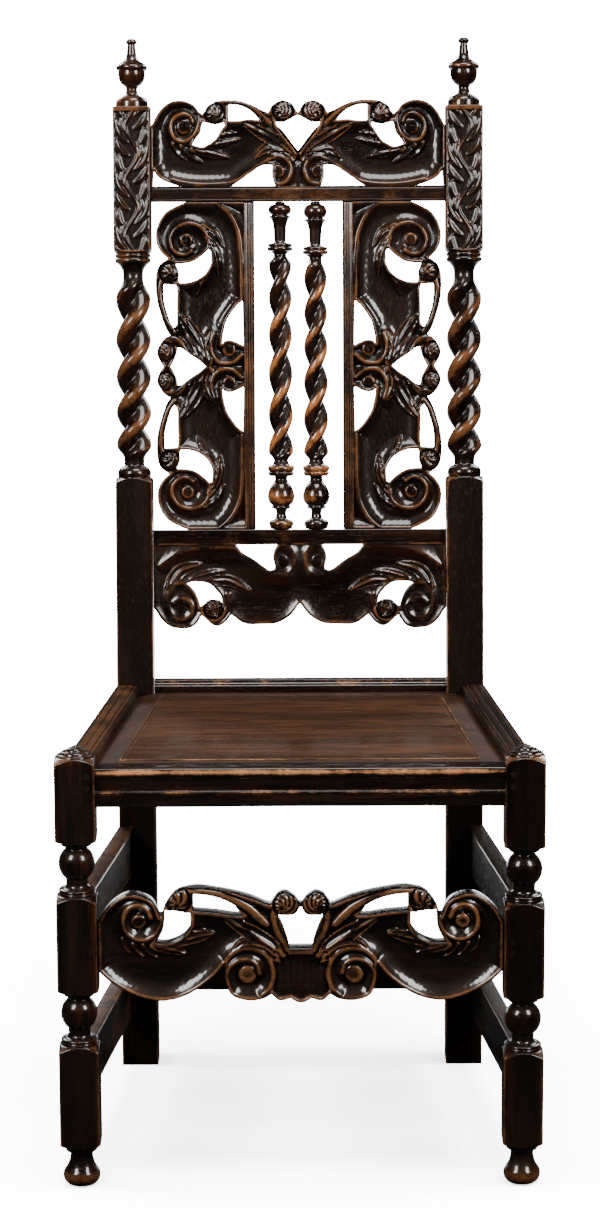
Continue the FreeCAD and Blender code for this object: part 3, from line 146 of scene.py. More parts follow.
# %% Floor
FLOOR_REACH, WHITE = 12.0, 20.0
FADE_FROM, FADE_TO, LEAST_GLOW = 0.55, 1.7, 0.1
floor_mesh = bpy.data.meshes.new("floor")
corners = [(x * FLOOR_REACH, y * FLOOR_REACH, 0) for x, y in ((-1, -1), (1, -1), (1, 1), (-1, 1))]
floor_mesh.from_pydata(corners, [], [(0, 1, 2, 3)])
floor = bpy.data.objects.new("floor", floor_mesh)
bpy.context.collection.objects.link(floor)
floor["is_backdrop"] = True
paper = bpy.data.materials.new("floor_paper")
paper.use_nodes = True
floor_mesh.materials.append(paper)
tree = paper.node_tree
sheet = tree.nodes["Principled BSDF"]
for socket, value in (("Base Color", (0.95, 0.95, 0.95)), ("Roughness", 0.95), ("Specular IOR Level", 0.0)):
    feed(tree, sheet.inputs[socket], value)
glow = add_node(tree, "ShaderNodeEmission", Color=(1, 1, 1), Strength=WHITE)
dim = add_node(tree, "ShaderNodeBsdfDiffuse", Color=(0.004, 0.004, 0.004))
place = add_node(tree, "ShaderNodeTexCoord").outputs["Object"]
distance = add_node(tree, "ShaderNodeVectorMath", {"operation": "LENGTH"}, _0=place).outputs["Value"]
fade = remap(tree, distance, FADE_FROM, FADE_TO, LEAST_GLOW)
seen_paper = add_node(tree, "ShaderNodeMixShader", _0=fade, _1=sheet.outputs[0], _2=glow.outputs[0])
split_by_ray(tree, dim.outputs[0], seen_paper.outputs[0], tree.nodes["Material Output"])
print("floor", 2 * FLOOR_REACH, "m wide")

# %% [markdown]
# ## Light
# Tall soft panels stand at both sides in front and behind, and one hangs above. They draw the bright
# lines down the turnings. A low one behind the chair catches the edges near the floor. One broad and
# two side lights reach the paper alone and give it the soft shadow under the seat. The room is nearly
# dark to the chair and white to the camera.

# %% Light
ROOM = 0.03
PANELS = [
    ("panel_left", (-1.6, -1.75, 1.9), (0, 0, 0.6), (0.75, 1.1), 85),
    ("panel_right", (1.6, -1.75, 1.9), (0, 0, 0.6), (0.75, 1.1), 85),
    ("panel_top", (0.2, -0.5, 2.9), (0, 0, 0.5), (1.2, 0.9), 60),
    ("panel_back_left", (-1.4, 2.0, 2.1), (0, 0, 0.6), (0.9, 1.1), 48),
    ("panel_back_right", (1.4, 2.0, 2.1), (0, 0, 0.6), (0.9, 1.1), 48),
    ("panel_low", (0, 1.7, 0.2), (0, 0, 0.2), (2.4, 0.4), 12),
    ("paper_light", (0.0, -0.5, 3.2), (0, 0.1, 0), (2.8, 2.2), 1300),
    ("paper_left", (-2.0, 0.1, 1.5), (0, 0, 0), (0.7, 0.9), 240),
    ("paper_right", (2.0, 0.1, 1.5), (0, 0, 0), (0.7, 0.9), 240),
]
lit_alone = bpy.data.collections.new("paper_only")
lit_alone.objects.link(floor)
for name, place, target, size, power in PANELS:
    data = bpy.data.lights.new(name, "AREA")
    data.shape = "RECTANGLE"
    data.size, data.size_y = size
    data.energy = power
    lamp = bpy.data.objects.new(name, data)
    lamp.location = place
    lamp.rotation_euler = (Vector(target) - Vector(place)).to_track_quat("-Z", "Y").to_euler()
    if name.startswith("paper"):
        lamp.light_linking.receiver_collection = lit_alone
    bpy.context.collection.objects.link(lamp)

world = bpy.data.worlds.new("studio")
bpy.context.scene.world = world
world.use_nodes = True
tree = world.node_tree
tree.nodes.clear()
room, backdrop = [add_node(tree, "ShaderNodeBackground", Color=(1, 1, 1), Strength=strength).outputs[0]
                  for strength in (ROOM, WHITE)]
split_by_ray(tree, room, backdrop, tree.nodes.new("ShaderNodeOutputWorld"))
print("lights", len(PANELS))

# %% [markdown]
# ## Places
# All work is in millimetres. The shared places come from the solids' own boxes, so every surface
# sits where its solid does. The back leans, so its pieces are worked out in a leaning frame whose
# origin is on the bend of the rear posts, and are then turned into the chair's frame.

# %% Places
MM = 0.001
HALF = 21.5
CLEAR = 33.0


def box_of(node):
    """Lowest and highest corner of a solid, in millimetres."""
    return np.array(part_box(node)) / MM


leg_low, leg_high = box_of("front_leg_right")
post_low, post_high = box_of("rear_post_right")
LEG_X = (leg_low[0] + leg_high[0]) / 2
FRONT_Y = (leg_low[1] + leg_high[1]) / 2
POST_X = (post_low[0] + post_high[0]) / 2
REAR_Y = post_low[1] + HALF
SEAT = box_of("seat_rail_front")[1][2]
BEND = SEAT - 11
RAKE = math.radians(7)
LOWER_BAR_TOP = 188.6
CREST_BASE = 568.0
POST_TOP = 677.0
BOARD_FRONT = -10.0
BOARD_BACK = 12.0
print("leg", LEG_X, FRONT_Y, "post", POST_X, REAR_Y, "seat", SEAT)


def spot(x, y, z):
    """Points from three coordinates, any of which may be a single number."""
    return np.stack(np.broadcast_arrays(x, y, z), axis=-1).astype(float)


def from_back(across, deep, rise):
    """Chair-frame points of places in the leaning frame: deep is behind its plane, rise is up it."""
    back = REAR_Y + rise * math.sin(RAKE) + deep * math.cos(RAKE)
    return spot(across, back, BEND + rise * math.cos(RAKE) - deep * math.sin(RAKE))


# %% [markdown]
# ## Surfaces
# A surface is a grid of points. Its faces follow from the grid alone, and a ring of points closes on
# itself. Every piece also keeps a value at each point, named raised, from 0 in a hollow to 1 on an
# edge or a ridge, where hands and cloths have rubbed the dark finish away. In places it also carries
# painted light: a painted highlight on the ridges of the carved boards and along the seat's field,
# and a painted reflection on the inner faces of the side rails and stretchers.

# %% Surface helpers
made = []


def add_piece(name, points, polygons, raised, sharp=None):
    """Make a piece of points and polygons that stands for the solid of its name."""
    mesh = bpy.data.meshes.new(name + "_oak")
    mesh.from_pydata((points * MM).tolist(), [], [face for group in polygons for face in group.tolist()])
    mesh.polygons.foreach_set("use_smooth", np.ones(len(mesh.polygons), dtype=bool))
    values = mesh.attributes.new("raised", "FLOAT", "POINT")
    values.data.foreach_set("value", np.clip(raised, 0, 1).astype(np.float32))
    if sharp:
        mesh.set_sharp_from_angle(angle=math.radians(sharp))
    piece = bpy.data.objects.new(name + "_oak", mesh)
    bpy.context.collection.objects.link(piece)
    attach(piece, "root")
    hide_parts(name)
    made.append(piece)
    print(name, len(mesh.polygons), "faces")
    return piece


def add_tube(name, points, raised, sharp=None):
    """Make a piece of rings of points: quads between rings and a fan of triangles at each end.

    Each ring closes on itself. Faces point outwards where the rings run anticlockwise from above.
    """
    rows, columns, _ = points.shape
    here = np.arange(columns)
    beside = (here + 1) % columns
    row = np.arange(rows - 1)[:, None] * columns
    quads = np.stack([row + here, row + beside, row + beside + columns, row + here + columns], axis=-1)
    count, top = rows * columns, (rows - 1) * columns
    fans = [np.stack([np.full(columns, count), beside, here], axis=-1),
            np.stack([np.full(columns, count + 1), top + here, top + beside], axis=-1)]
    values = np.concatenate([raised.ravel(), raised[[0, -1]].mean(axis=1)])
    shell = np.concatenate([points.reshape(-1, 3), points[[0, -1]].mean(axis=1)])
    return add_piece(name, shell, [quads.reshape(-1, 4)] + fans, values, sharp)


# %% [markdown]
# ## Turned outlines
# A turner thinks in straight and round stretches between a few heights, so an outline is a list of
# those. Where a billet stays square, the square's own side limits it. Nothing made by hand is quite
# even, so a sum of slow waves moves each surface by a third of a millimetre.

# %% Turned outlines
CORNER_POWER, BLOCK_STEP, SHARPNESS = 26, 6.0, 3.0
EDGE_SHARES = np.array([-1, -0.985, -0.965, -0.93, -0.87])
PLAIN_FACE = np.concatenate([EDGE_SHARES, np.linspace(-0.78, 0.78, 14), -EDGE_SHARES[:0:-1]])
WAVES = np.random.default_rng(11).normal(size=(3, 10))
PHASES = np.random.default_rng(12).uniform(0, 6.28, size=10)


def arc_points(start, through, end, step):
    """Points along the circle through three points, about a step apart, without the first."""
    (ax, ay), (bx, by), (cx, cy) = start, through, end
    d = 2 * (ax * (by - cy) + bx * (cy - ay) + cx * (ay - by))
    a2, b2, c2 = ax * ax + ay * ay, bx * bx + by * by, cx * cx + cy * cy
    ux = (a2 * (by - cy) + b2 * (cy - ay) + c2 * (ay - by)) / d
    uy = (a2 * (cx - bx) + b2 * (ax - cx) + c2 * (bx - ax)) / d
    radius = math.hypot(ax - ux, ay - uy)
    first, middle, last = [math.atan2(y - uy, x - ux) for x, y in (start, through, end)]
    full = 2 * math.pi
    forward = (last - first) % full
    turn = forward if (middle - first) % full <= forward else forward - full
    count = max(2, math.ceil(abs(turn) * radius / step))
    angles = first + turn * np.arange(1, count + 1) / count
    return np.stack([ux + radius * np.cos(angles), uy + radius * np.sin(angles)], axis=1)


def trace(rows, step=0.8):
    """Heights and radii along a turned outline of straight and round stretches.

    A row is (height, radius), or (height, radius, through height, through radius) for an arc.
    Stretches outside the square's corners, where nothing is turned, take longer steps.
    """
    runs = [np.array([rows[0][:2]], dtype=float)]
    for before, row in zip(rows, rows[1:]):
        if len(row) == 4:
            runs.append(arc_points(before[:2], row[2:], row[:2], step))
            continue
        plain = min(before[1], row[1]) >= CLEAR
        length = math.hypot(row[0] - before[0], row[1] - before[1])
        count = max(1, math.ceil(length / (BLOCK_STEP if plain else step)))
        share = np.arange(1, count + 1)[:, None] / count
        runs.append(np.array(before[:2]) * (1 - share) + np.array(row[:2]) * share)
    outline = np.concatenate(runs)
    return outline[:, 0], outline[:, 1]


def shifted(rows, lift):
    """An outline moved up by a lift."""
    return [tuple(v + lift if index % 2 == 0 else v for index, v in enumerate(row)) for row in rows]


def least(first, second):
    """The smaller of two lengths, rounded off where they meet: a soft minimum."""
    return -np.logaddexp(-first * SHARPNESS, -second * SHARPNESS) / SHARPNESS


def square_reach(angles):
    """Distance from the axis to the side of a square with slightly rounded corners."""
    powers = np.abs(np.cos(angles)) ** CORNER_POWER + np.abs(np.sin(angles)) ** CORNER_POWER
    return HALF / powers ** (1 / CORNER_POWER)


def face_angles(*faces):
    """Angles of sample points across the four faces of a square, from their shares across."""
    return np.concatenate([np.arctan(face) + turn * math.pi / 2 for turn, face in enumerate(faces)])


def unevenness(points, scale):
    """Gentle unevenness of hand work, from 0 down to -1: a sum of waves in seeded directions."""
    return np.clip(np.sin(points @ WAVES / scale + PHASES).sum(axis=-1) / 5, -1, 1) * 0.5 - 0.5


def hand_made(reach, angles, high, shift):
    """A reach made slightly uneven. The shift gives every piece waves of its own."""
    place = spot(reach * np.cos(angles) + shift, reach * np.sin(angles), high)
    return reach + 0.35 * unevenness(place, 23.0)


def ease(values):
    """Smooth step from 0 to 1."""
    t = np.clip(values, 0, 1)
    return t * t * (3 - 2 * t)


def bell(values):
    """1 at zero, falling to both sides as a bell."""
    return np.exp(-(values ** 2))


def billet_wear(reach, radii, square, angles, core):
    """Raised values of a turned billet, and those of its shoulders, where square meets round.

    A block is worn along its corners, a turned part by how far it stands out from its core.
    """
    beyond = radii[:, None] - square
    blocky = np.clip(beyond / 4 + 1, 0, 1)
    corners = bell(np.abs(np.abs(np.cos(angles)) - np.abs(np.sin(angles))) / 0.10)
    turned = np.clip((reach - core) / 9, 0, 1) ** 2
    return blocky * corners + (1 - blocky) * turned * 0.8, 0.45 * bell(beyond / 2.2)


# %% [markdown]
# ## Front legs
# Each front leg is one square billet. The lathe turned it between its blocks into rings, balls and
# a foot, and left the blocks square. A turned billet is a single surface: at every height the reach
# from the axis is the smaller of the turned radius and the square, which also gives the arched
# shoulders where the lathe ran into the flat faces.

# %% Front legs
FOOT_ROWS = [
    (0, 12.2), (0.8, 14.4), (17.0, 17.8, 8.6, 19.9), (29.5, 12.5, 23.0, 14.4), (33.5, 12.2),
    (37.2, 13.2), (37.8, 15.8), (40.2, 17.4, 38.6, 16.9), (43.4, 17.2), (43.9, 17.9),
    (54.2, 33.5, 46.2, 26.5),
]
GAP_ROWS = [
    (-8.2, 33.5), (0.0, 21.5), (0.2, 18.9), (3.1, 18.9, 1.6, 19.8), (3.5, 18.4), (6.4, 18.6, 5.0, 19.9),
    (7.0, 17.6), (13.5, 12.0, 8.6, 13.0), (17.4, 12.0), (18.2, 12.6), (49.2, 12.6, 33.7, 19.6),
    (50.2, 12.0), (52.4, 12.0), (53.2, 15.2), (55.2, 16.6, 53.9, 16.3), (57.0, 16.3), (57.5, 17.4),
    (68.5, 33.5, 60.2, 26.8),
]
DOME_ROWS = [
    (-7.6, 33.5), (0.3, 21.0), (0.5, 19.4), (2.9, 17.8, 2.2, 19.2), (2.7, 16.6), (2.9, 15.8),
    (6.0, 11.8, 5.2, 14.6), (5.7, 10.6), (6.0, 9.8), (9.6, 4.8, 8.6, 8.2), (9.4, 3.8),
    (12.0, 0.3, 11.2, 2.8),
]
LOWER_GAP, UPPER_GAP, LEG_TOP, LEG_CORE = 153.0, 317.0, 470.0, 12.5


def make_front_leg(name, side, lift):
    """One leg. Reach = soft minimum of the turned radius and the square at each angle."""
    rows = FOOT_ROWS + shifted(GAP_ROWS, LOWER_GAP + lift) + shifted(GAP_ROWS, UPPER_GAP + lift)
    heights, radii = trace(rows + shifted(DOME_ROWS, LEG_TOP))
    angles = face_angles(*[PLAIN_FACE] * 4)
    square = square_reach(angles)
    high = heights[:, None]
    reach = hand_made(least(radii[:, None], square), angles, high, side * 900)
    raised, shoulders = billet_wear(reach, radii, square, angles, LEG_CORE)
    raised = raised + shoulders + 0.45 * bell((high - 10) / 12) + 0.25 * bell((high - LEG_TOP) / 7)
    points = spot(reach * np.cos(angles) + side * LEG_X, reach * np.sin(angles) + FRONT_Y, high)
    add_tube(name, points, raised)


make_front_leg("front_leg_left", -1, 4.0)
make_front_leg("front_leg_right", 1, -4.0)

# %% [markdown]
# ## Twists
# A twist is cut with a saw and rasps after turning. Its section is two overlapping circles, which
# turn as they rise. The strands were cut by hand and their pitch drifts, so the turn follows the
# heights at which the strands stand out at the sides.

# %% Twists
PITCH_BLEND = 9.0


def strand_reach(angles, phase, lobe, offset):
    """Reach of two overlapping circles, set off both ways along the phase direction."""
    along = np.sqrt(np.cos(angles - phase) ** 2 + 0.06)
    across = np.sin(angles - phase)
    return offset * along + np.sqrt(np.maximum(lobe ** 2 - (offset * across) ** 2, 0.01))


def twist_phase(heights, bulges):
    """Half a turn from each bulge to the next, smoothly, and on at the same rate past the ends."""
    knots = np.array([2 * bulges[0] - bulges[1], *bulges, 2 * bulges[-1] - bulges[-2]])
    turns = np.arange(-1, len(bulges) + 1)
    shifts = (-PITCH_BLEND, 0, PITCH_BLEND)
    before, here, after = [np.interp(heights + shift, knots, turns) for shift in shifts]
    return math.pi * (here * 2 + before + after) / 4


# %% [markdown]
# ## Carved blocks of the posts
# The top block of each post has a running scroll of leaves on its front, sunk into the square. It
# could be modelled leaf by leaf. A height over the face is simpler, as the whole post stays one
# surface.

# %% Carved blocks of the posts
CARVED_BASE = 510.0
CARVED_LENGTH = POST_TOP - CARVED_BASE
PACE, SWAY = 31.0, 7.0


def leaf(across, up, root, heading, length, width, bend):
    """Height from 0 to 1 of one leaf: a bent almond with thin raised edges and a raised midrib."""
    turn = math.radians(heading)
    dx, dy = across - root[0], up - root[1]
    along = (dx * math.cos(turn) + dy * math.sin(turn)) / length
    share = np.clip(along, 0, 1)
    off = dy * math.cos(turn) - dx * math.sin(turn) - 4 * bend * share * (1 - share)
    half = width * 1.9 * share ** 0.5 * (1 - share) ** 0.6 + 0.01
    rib = np.cos(math.pi * np.clip(off / half, -1, 1)) ** 4
    return ease((half - np.abs(off)) / 1.2) * (0.4 + 0.6 * rib)


def scroll_relief(across, up, side):
    """Height from 0 to 1 of the running scroll on a post's block.

    A stem swings from side to side as a sine. Out of every swing two long leaves and two short ones
    grow, which fill the face nearly to its edges.
    """
    swing = math.pi * (up - 4) / PACE
    slope = SWAY * math.pi / PACE * np.cos(swing)
    line = side * SWAY * np.sin(swing)
    surface = 0.9 * np.exp(-((np.abs(across - line) / np.sqrt(1 + slope ** 2) / 1.7) ** 4))
    for index in range(-1, 6):
        hand, base = side * (-1) ** index, 4 + PACE * index
        for part in (
            leaf(across, up, (hand * 3, base - 3), 90 - hand * 28, 33, 5.6, -hand * 5.0),
            leaf(across, up, (-hand * 2, base + 13), 90 + hand * 36, 27, 5.4, hand * 4.5),
            leaf(across, up, (hand * 8, base + 9), 90 + hand * 4, 22, 4.2, -hand * 3.0),
            leaf(across, up, (-hand * 8, base - 6), 90 + hand * 14, 23, 4.6, hand * 3.5),
        ):
            surface = np.maximum(surface, part)
    border = ease((np.abs(across) - 19.2) / 0.9)
    ends = np.maximum(ease((3.0 - up) / 1.2), ease((up - CARVED_LENGTH + 6.0) / 1.2))
    return np.maximum(surface, np.maximum(border, ends))


# %% [markdown]
# ## Rear posts
# A rear post is sawn from one plank. It is square and upright to the seat, leans back above it, and
# has a twist between a plain block and a carved one. Each ring of its surface is worked out round a
# straight line, and the line is then bent.

# %% Rear posts
BELOW_BEND = 450.0
TWIST_LOW, TWIST_HIGH, CORE = 268.0, 484.5, 11.8
LATHE_LOW, LATHE_HIGH = 242, 517.5
BLOCK_RINGS, TWIST_RINGS, CARVED_RINGS = 70, 240, 170
POST_LOBE, POST_OFFSET = 11.3, 8.7
CARVED_DEPTH = 1.7
BLOCK = 33.5
POST_ROWS = [(0, BLOCK)] + shifted([
    (242, BLOCK), (249.0, 21.5), (249.3, 19.2), (252.2, 19.5), (262.8, 12.6, 259.6, 17.6), (263.8, CORE),
    (267.8, CORE), (484.6, CORE), (486.5, CORE), (497.6, 18.6, 492.2, 13.6), (498.2, 19.6),
    (503.2, 19.9, 500.4, 20.7), (503.8, 19.0), (508.4, 19.6, 506.0, 20.5), (509.2, 20.0), (510.0, 21.4),
    (516.4, BLOCK), (POST_TOP, BLOCK),
], BELOW_BEND)
POST_BULGES = {-1: (287.2, 323.8, 365.6, 408.2, 454.8), 1: (285.4, 325.4, 366.4, 409.8, 455.9)}
CARVED_FACE = np.concatenate([EDGE_SHARES, np.linspace(-0.82, 0.82, 48), -EDGE_SHARES[:0:-1]])


def post_place(x, y, along):
    """Chair-frame points of a post whose line bends along a circle over a short stretch."""
    reach = 12.0
    radius = 2 * reach / RAKE
    tilt = RAKE * np.clip((along - BEND + reach) / (2 * reach), 0, 1)
    beyond = np.maximum(along - BEND - reach, 0)
    axis_y = radius * (1 - np.cos(tilt)) + beyond * np.sin(tilt)
    below = np.minimum(along, BEND - reach)
    axis_z = below + radius * np.sin(tilt) + beyond * np.cos(tilt)
    return np.stack([x, REAR_Y + axis_y + y * np.cos(tilt), axis_z - y * np.sin(tilt)], axis=-1)


def make_rear_post(name, side):
    """One post. Reach = soft minimum of the lathe's radius and the square, or the twist's section."""
    traced, traced_radii = trace(POST_ROWS, step=0.85)
    rise = traced - BELOW_BEND
    lathe = ((rise > LATHE_LOW) & (rise < TWIST_LOW)) | ((rise > TWIST_HIGH) & (rise < LATHE_HIGH))
    along = np.concatenate([np.linspace(0, BELOW_BEND + LATHE_LOW, BLOCK_RINGS), traced[lathe],
                            BELOW_BEND + np.linspace(TWIST_LOW, TWIST_HIGH, TWIST_RINGS),
                            BELOW_BEND + np.linspace(LATHE_HIGH + 0.5, POST_TOP, CARVED_RINGS)])
    radii = np.concatenate([np.full(BLOCK_RINGS, BLOCK), traced_radii[lathe],
                            np.full(TWIST_RINGS, CORE), np.full(CARVED_RINGS, BLOCK)])
    order = np.argsort(along, kind="stable")
    along, radii = along[order, None], radii[order]
    rise = along - BELOW_BEND
    angles = face_angles(PLAIN_FACE, PLAIN_FACE, PLAIN_FACE, CARVED_FACE)
    square = square_reach(angles)
    grip = ease((rise - TWIST_LOW) / 17) * ease((TWIST_HIGH - rise) / 24)
    lobe_radius = CORE + (POST_LOBE - CORE) * grip
    strands = strand_reach(angles, twist_phase(rise, POST_BULGES[side]), lobe_radius, POST_OFFSET * grip)
    twisted = (rise > TWIST_LOW) & (rise < TWIST_HIGH)
    reach = np.where(twisted, strands, least(radii[:, None], square))
    reach = hand_made(reach, angles, along, side * 700)
    x, y = reach * np.cos(angles), reach * np.sin(angles)
    up = rise - CARVED_BASE
    on_face = (y < -HALF + 1.2) & (np.abs(x) < HALF - 0.8) & (up > 0)
    cut = scroll_relief(x, up, side)
    y = np.where(on_face, y + (1 - cut) * CARVED_DEPTH, y)
    raised, shoulders = billet_wear(reach, radii, square, angles, 11.5)
    raised = np.where(twisted, 0.98 * np.clip((reach - 11) / 8.6, 0, 1) ** 1.3, raised)
    raised = np.where(on_face, 0.06 + 0.84 * cut ** 2, raised) + shoulders * (rise > 0)
    add_tube(name, post_place(x + side * POST_X, y, along), raised)


make_rear_post("rear_post_left", -1)
make_rear_post("rear_post_right", 1)

# %% [markdown]
# ## Finials
# Each post ends in a small turned urn with a tall stem. It is a plain lathe shape: one outline of
# heights and radii carried round the post's own axis.

# %% Finials
FINIAL_ROWS = [
    (0, 18.2), (1.2, 19.0, 0.4, 18.9), (6.0, 18.8), (12.3, 13.0, 9.8, 17.2), (13.7, 10.3, 12.9, 11.0),
    (17.0, 7.2, 15.0, 8.0), (20.3, 6.4), (24.0, 7.4, 22.6, 6.6), (25.0, 8.8), (34.0, 15.2, 28.8, 13.0),
    (42.4, 15.6, 38.5, 15.8), (43.2, 16.9), (48.6, 17.4, 45.8, 18.4), (53.2, 10.4, 51.6, 13.4),
    (54.0, 8.8), (62.3, 5.7, 57.6, 6.8), (72.8, 4.3), (73.6, 5.4), (78.0, 5.4, 75.8, 6.6),
    (79.2, 2.8, 78.9, 4.4), (79.3, 0.3),
]
WIDTH_SHARE, HEIGHT_SHARE = 0.984, 0.996
ROUND = np.linspace(0, 2 * math.pi, 72, endpoint=False)


def make_finial(name, side):
    """Heights and radii of the outline, carried round the axis."""
    heights, radii = trace(FINIAL_ROWS, step=0.7)
    radii = radii * WIDTH_SHARE
    crest = np.clip((radii - np.convolve(np.pad(radii, 6, "edge"), np.ones(13) / 13, "valid")) / 1.5, -1, 1)
    x, y = radii[:, None] * np.cos(ROUND), radii[:, None] * np.sin(ROUND)
    points = from_back(x + side * POST_X, y, POST_TOP + heights[:, None] * HEIGHT_SHARE)
    add_tube(name, points, np.broadcast_to((0.42 + 0.5 * crest)[:, None], x.shape))


make_finial("finial_left", -1)
make_finial("finial_right", 1)

# %% [markdown]
# ## Spindles
# Two slender spindles fill the middle of the back. Each has a turned foot and head and a two-strand
# twist between them, made in the same way as the posts'.

# %% Spindles
SPINDLE_FOOT_ROWS = [
    (0, 10.6), (3.2, 13.4, 0.9, 12.6), (11.0, 10.6, 8.6, 13.6), (13.0, 6.8, 11.4, 8.2),
    (20.0, 5.9, 16.4, 5.8), (23.6, 7.6, 22.2, 6.4), (24.2, 10.2), (26.8, 10.6, 25.6, 11.2), (27.6, 10.0),
    (39.4, 15.6, 31.4, 13.9), (54.8, 8.4, 49.2, 12.4), (58.0, 7.0), (61.4, 7.6), (62.0, 12.2),
    (64.2, 14.4, 62.6, 13.8), (66.6, 14.6, 65.6, 15.3), (67.2, 13.6), (74.4, 13.0, 70.6, 15.6),
    (75.2, 9.8), (79.0, 8.4),
]
SPINDLE_HEAD_ROWS = [
    (60.0, 7.6), (57.0, 11.2), (56.4, 13.6), (52.2, 13.8, 54.4, 14.7), (51.6, 12.8),
    (48.0, 12.2, 49.6, 14.2), (47.2, 7.6), (45.4, 6.5), (30.0, 7.3), (19.2, 10.2, 24.0, 8.3),
    (18.4, 12.0), (16.2, 12.0, 17.2, 12.6), (15.6, 9.6), (14.6, 9.2), (3.4, 8.8, 9.0, 13.4), (2.4, 6.0),
    (0.0, 5.6),
]
SPINDLE_BULGES = {
    -1: (280.1, 321.8, 369.0, 415.2, 457.7, 494.7),
    1: (276.1, 316.1, 358.8, 400.5, 439.4, 479.1),
}
SPINDLE_PLACE = {-1: -21.4, 1: 19.6}
SPINDLE_DROP = {-1: 0.0, 1: 4.0}
SPINDLE_LOBE, SPINDLE_OFFSET = 8.0, 6.3
BOARD_MIDDLE = (BOARD_FRONT + BOARD_BACK) / 2


def make_spindle(name, side):
    """Turned outline at both ends and the twist between, by height above the lower board."""
    foot_high, foot_radii = trace(SPINDLE_FOOT_ROWS, step=0.75)
    head_high, head_radii = trace(SPINDLE_HEAD_ROWS, step=0.75)
    head_high = CREST_BASE - LOWER_BAR_TOP - head_high - SPINDLE_DROP[side] * ease(head_high / 16)
    low, high = foot_high[-1], head_high[0]
    twist_high = np.linspace(low, high, 300)[1:-1]
    heights = np.concatenate([foot_high, twist_high, head_high])[:, None]
    radii = np.concatenate([foot_radii, np.zeros(len(twist_high)), head_radii])[:, None]
    twisted = (heights > low) & (heights < high)
    grip = ease((heights - low) / 11) * ease((high - heights) / 11)
    taper = 1.0 - 0.12 * np.clip((heights - 80) / 250, 0, 1)
    phase = twist_phase(heights + LOWER_BAR_TOP, SPINDLE_BULGES[side])
    strands = strand_reach(ROUND, phase, SPINDLE_LOBE, SPINDLE_OFFSET * grip) * taper
    reach = np.where(twisted, strands, radii)
    strand_wear = np.clip((reach - 8.5) / 5.4, 0, 1) ** 1.9
    turned_wear = np.clip((reach - 8) / 7.5, 0, 1) * 0.75
    raised = np.where(twisted, strand_wear, turned_wear)
    x, y = reach * np.cos(ROUND) + SPINDLE_PLACE[side], reach * np.sin(ROUND) + BOARD_MIDDLE
    add_tube(name, from_back(x, y, LOWER_BAR_TOP + heights), raised)


make_spindle("spindle_left", -1)
make_spindle("spindle_right", 1)

# %% [markdown]
# ## Carving
# The crest, the splats, the lower rail and the front stretcher are boards, sawn through to an
# outline and carved on the front. Each is a height over a flat grid. The distance to the nearest
# edge of the outline shapes the raised rims and rounds them over. Curves drawn along the carving
# give every point a place along and across the nearest one, and from these the scrolls, leaves and
# buds are worked out.

# %% Curves
AT_ONCE = 3000


def through(points, step=1.0):
    """A smooth curve through points: Catmull-Rom pieces with chord-length knots, a step apart."""
    p = np.array(points, dtype=float)
    if len(p) == 2:
        count = max(1, math.ceil(np.linalg.norm(p[1] - p[0]) / step))
        return p[0] + (p[1] - p[0]) * np.arange(count + 1)[:, None] / count
    p = np.concatenate([[2 * p[0] - p[1]], p, [2 * p[-1] - p[-2]]])
    gaps = np.maximum(np.linalg.norm(np.diff(p, axis=0), axis=1), 1e-6) ** 0.5
    pieces = []
    for index in range(1, len(p) - 2):
        p0, p1, p2, p3 = p[index - 1:index + 3]
        g0, g1, g2 = gaps[index - 1:index + 2]
        m1 = ((p1 - p0) / g0 - (p2 - p0) / (g0 + g1) + (p2 - p1) / g1) * g1
        m2 = ((p2 - p1) / g1 - (p3 - p1) / (g1 + g2) + (p3 - p2) / g2) * g1
        count = max(2, math.ceil(np.linalg.norm(p2 - p1) / step))
        t = (np.arange(count) / count)[:, None]
        pieces.append((2 * t ** 3 - 3 * t ** 2 + 1) * p1 + (t ** 3 - 2 * t ** 2 + t) * m1
                      + (-2 * t ** 3 + 3 * t ** 2) * p2 + (t ** 3 - t ** 2) * m2)
    return np.concatenate(pieces + [p[-2:-1]])


def flipped(runs, sx, sy):
    """Runs of points with each axis times its sign."""
    return [[(sx * x, sy * y) for x, y in run] for run in runs]


def joined(runs):
    """Runs of points that meet at corners: each starts where the one before ends."""
    return [runs[0]] + [[before[-1]] + run for before, run in zip(runs, runs[1:])]


def outlines_of(halves, holes, sx, sy):
    """Closed outlines: halves with their mirror image, and holes in pairs, closed by a straight line."""
    outlines = []
    for half in halves:
        runs = joined(half)
        outlines.append(runs + [run[::-1] for run in flipped(runs, sx, sy)[::-1]])
    for hole in holes:
        runs = joined(hole + [hole[0][:1]] if hole[-1][-1] != hole[0][0] else hole)
        outlines += [runs, flipped(runs, sx, sy)]
    return [np.concatenate([through(run)[:-1] for run in runs]) for runs in outlines]


def edge_distance(x, y, outlines):
    """Distance to the nearest edge, positive inside: inside is an odd number of edges to the right."""
    starts = np.concatenate(outlines)
    ends = np.concatenate([np.roll(outline, -1, axis=0) for outline in outlines])
    span = ends - starts
    length2 = np.maximum((span ** 2).sum(axis=1), 1e-9)
    result = np.empty(len(x))
    for first in range(0, len(x), AT_ONCE):
        some = slice(first, first + AT_ONCE)
        px, py = x[some, None], y[some, None]
        dx, dy = px - starts[:, 0], py - starts[:, 1]
        share = np.clip((dx * span[:, 0] + dy * span[:, 1]) / length2, 0, 1)
        near = np.sqrt(((dx - share * span[:, 0]) ** 2 + (dy - share * span[:, 1]) ** 2).min(axis=1))
        crosses = (starts[:, 1] > py) != (ends[:, 1] > py)
        rise = np.where(span[:, 1] == 0, 1e-9, span[:, 1])
        beyond = crosses & (dx < dy * span[:, 0] / rise)
        inside = beyond.sum(axis=1) % 2 == 1
        result[some] = np.where(inside, near, -near)
    return result


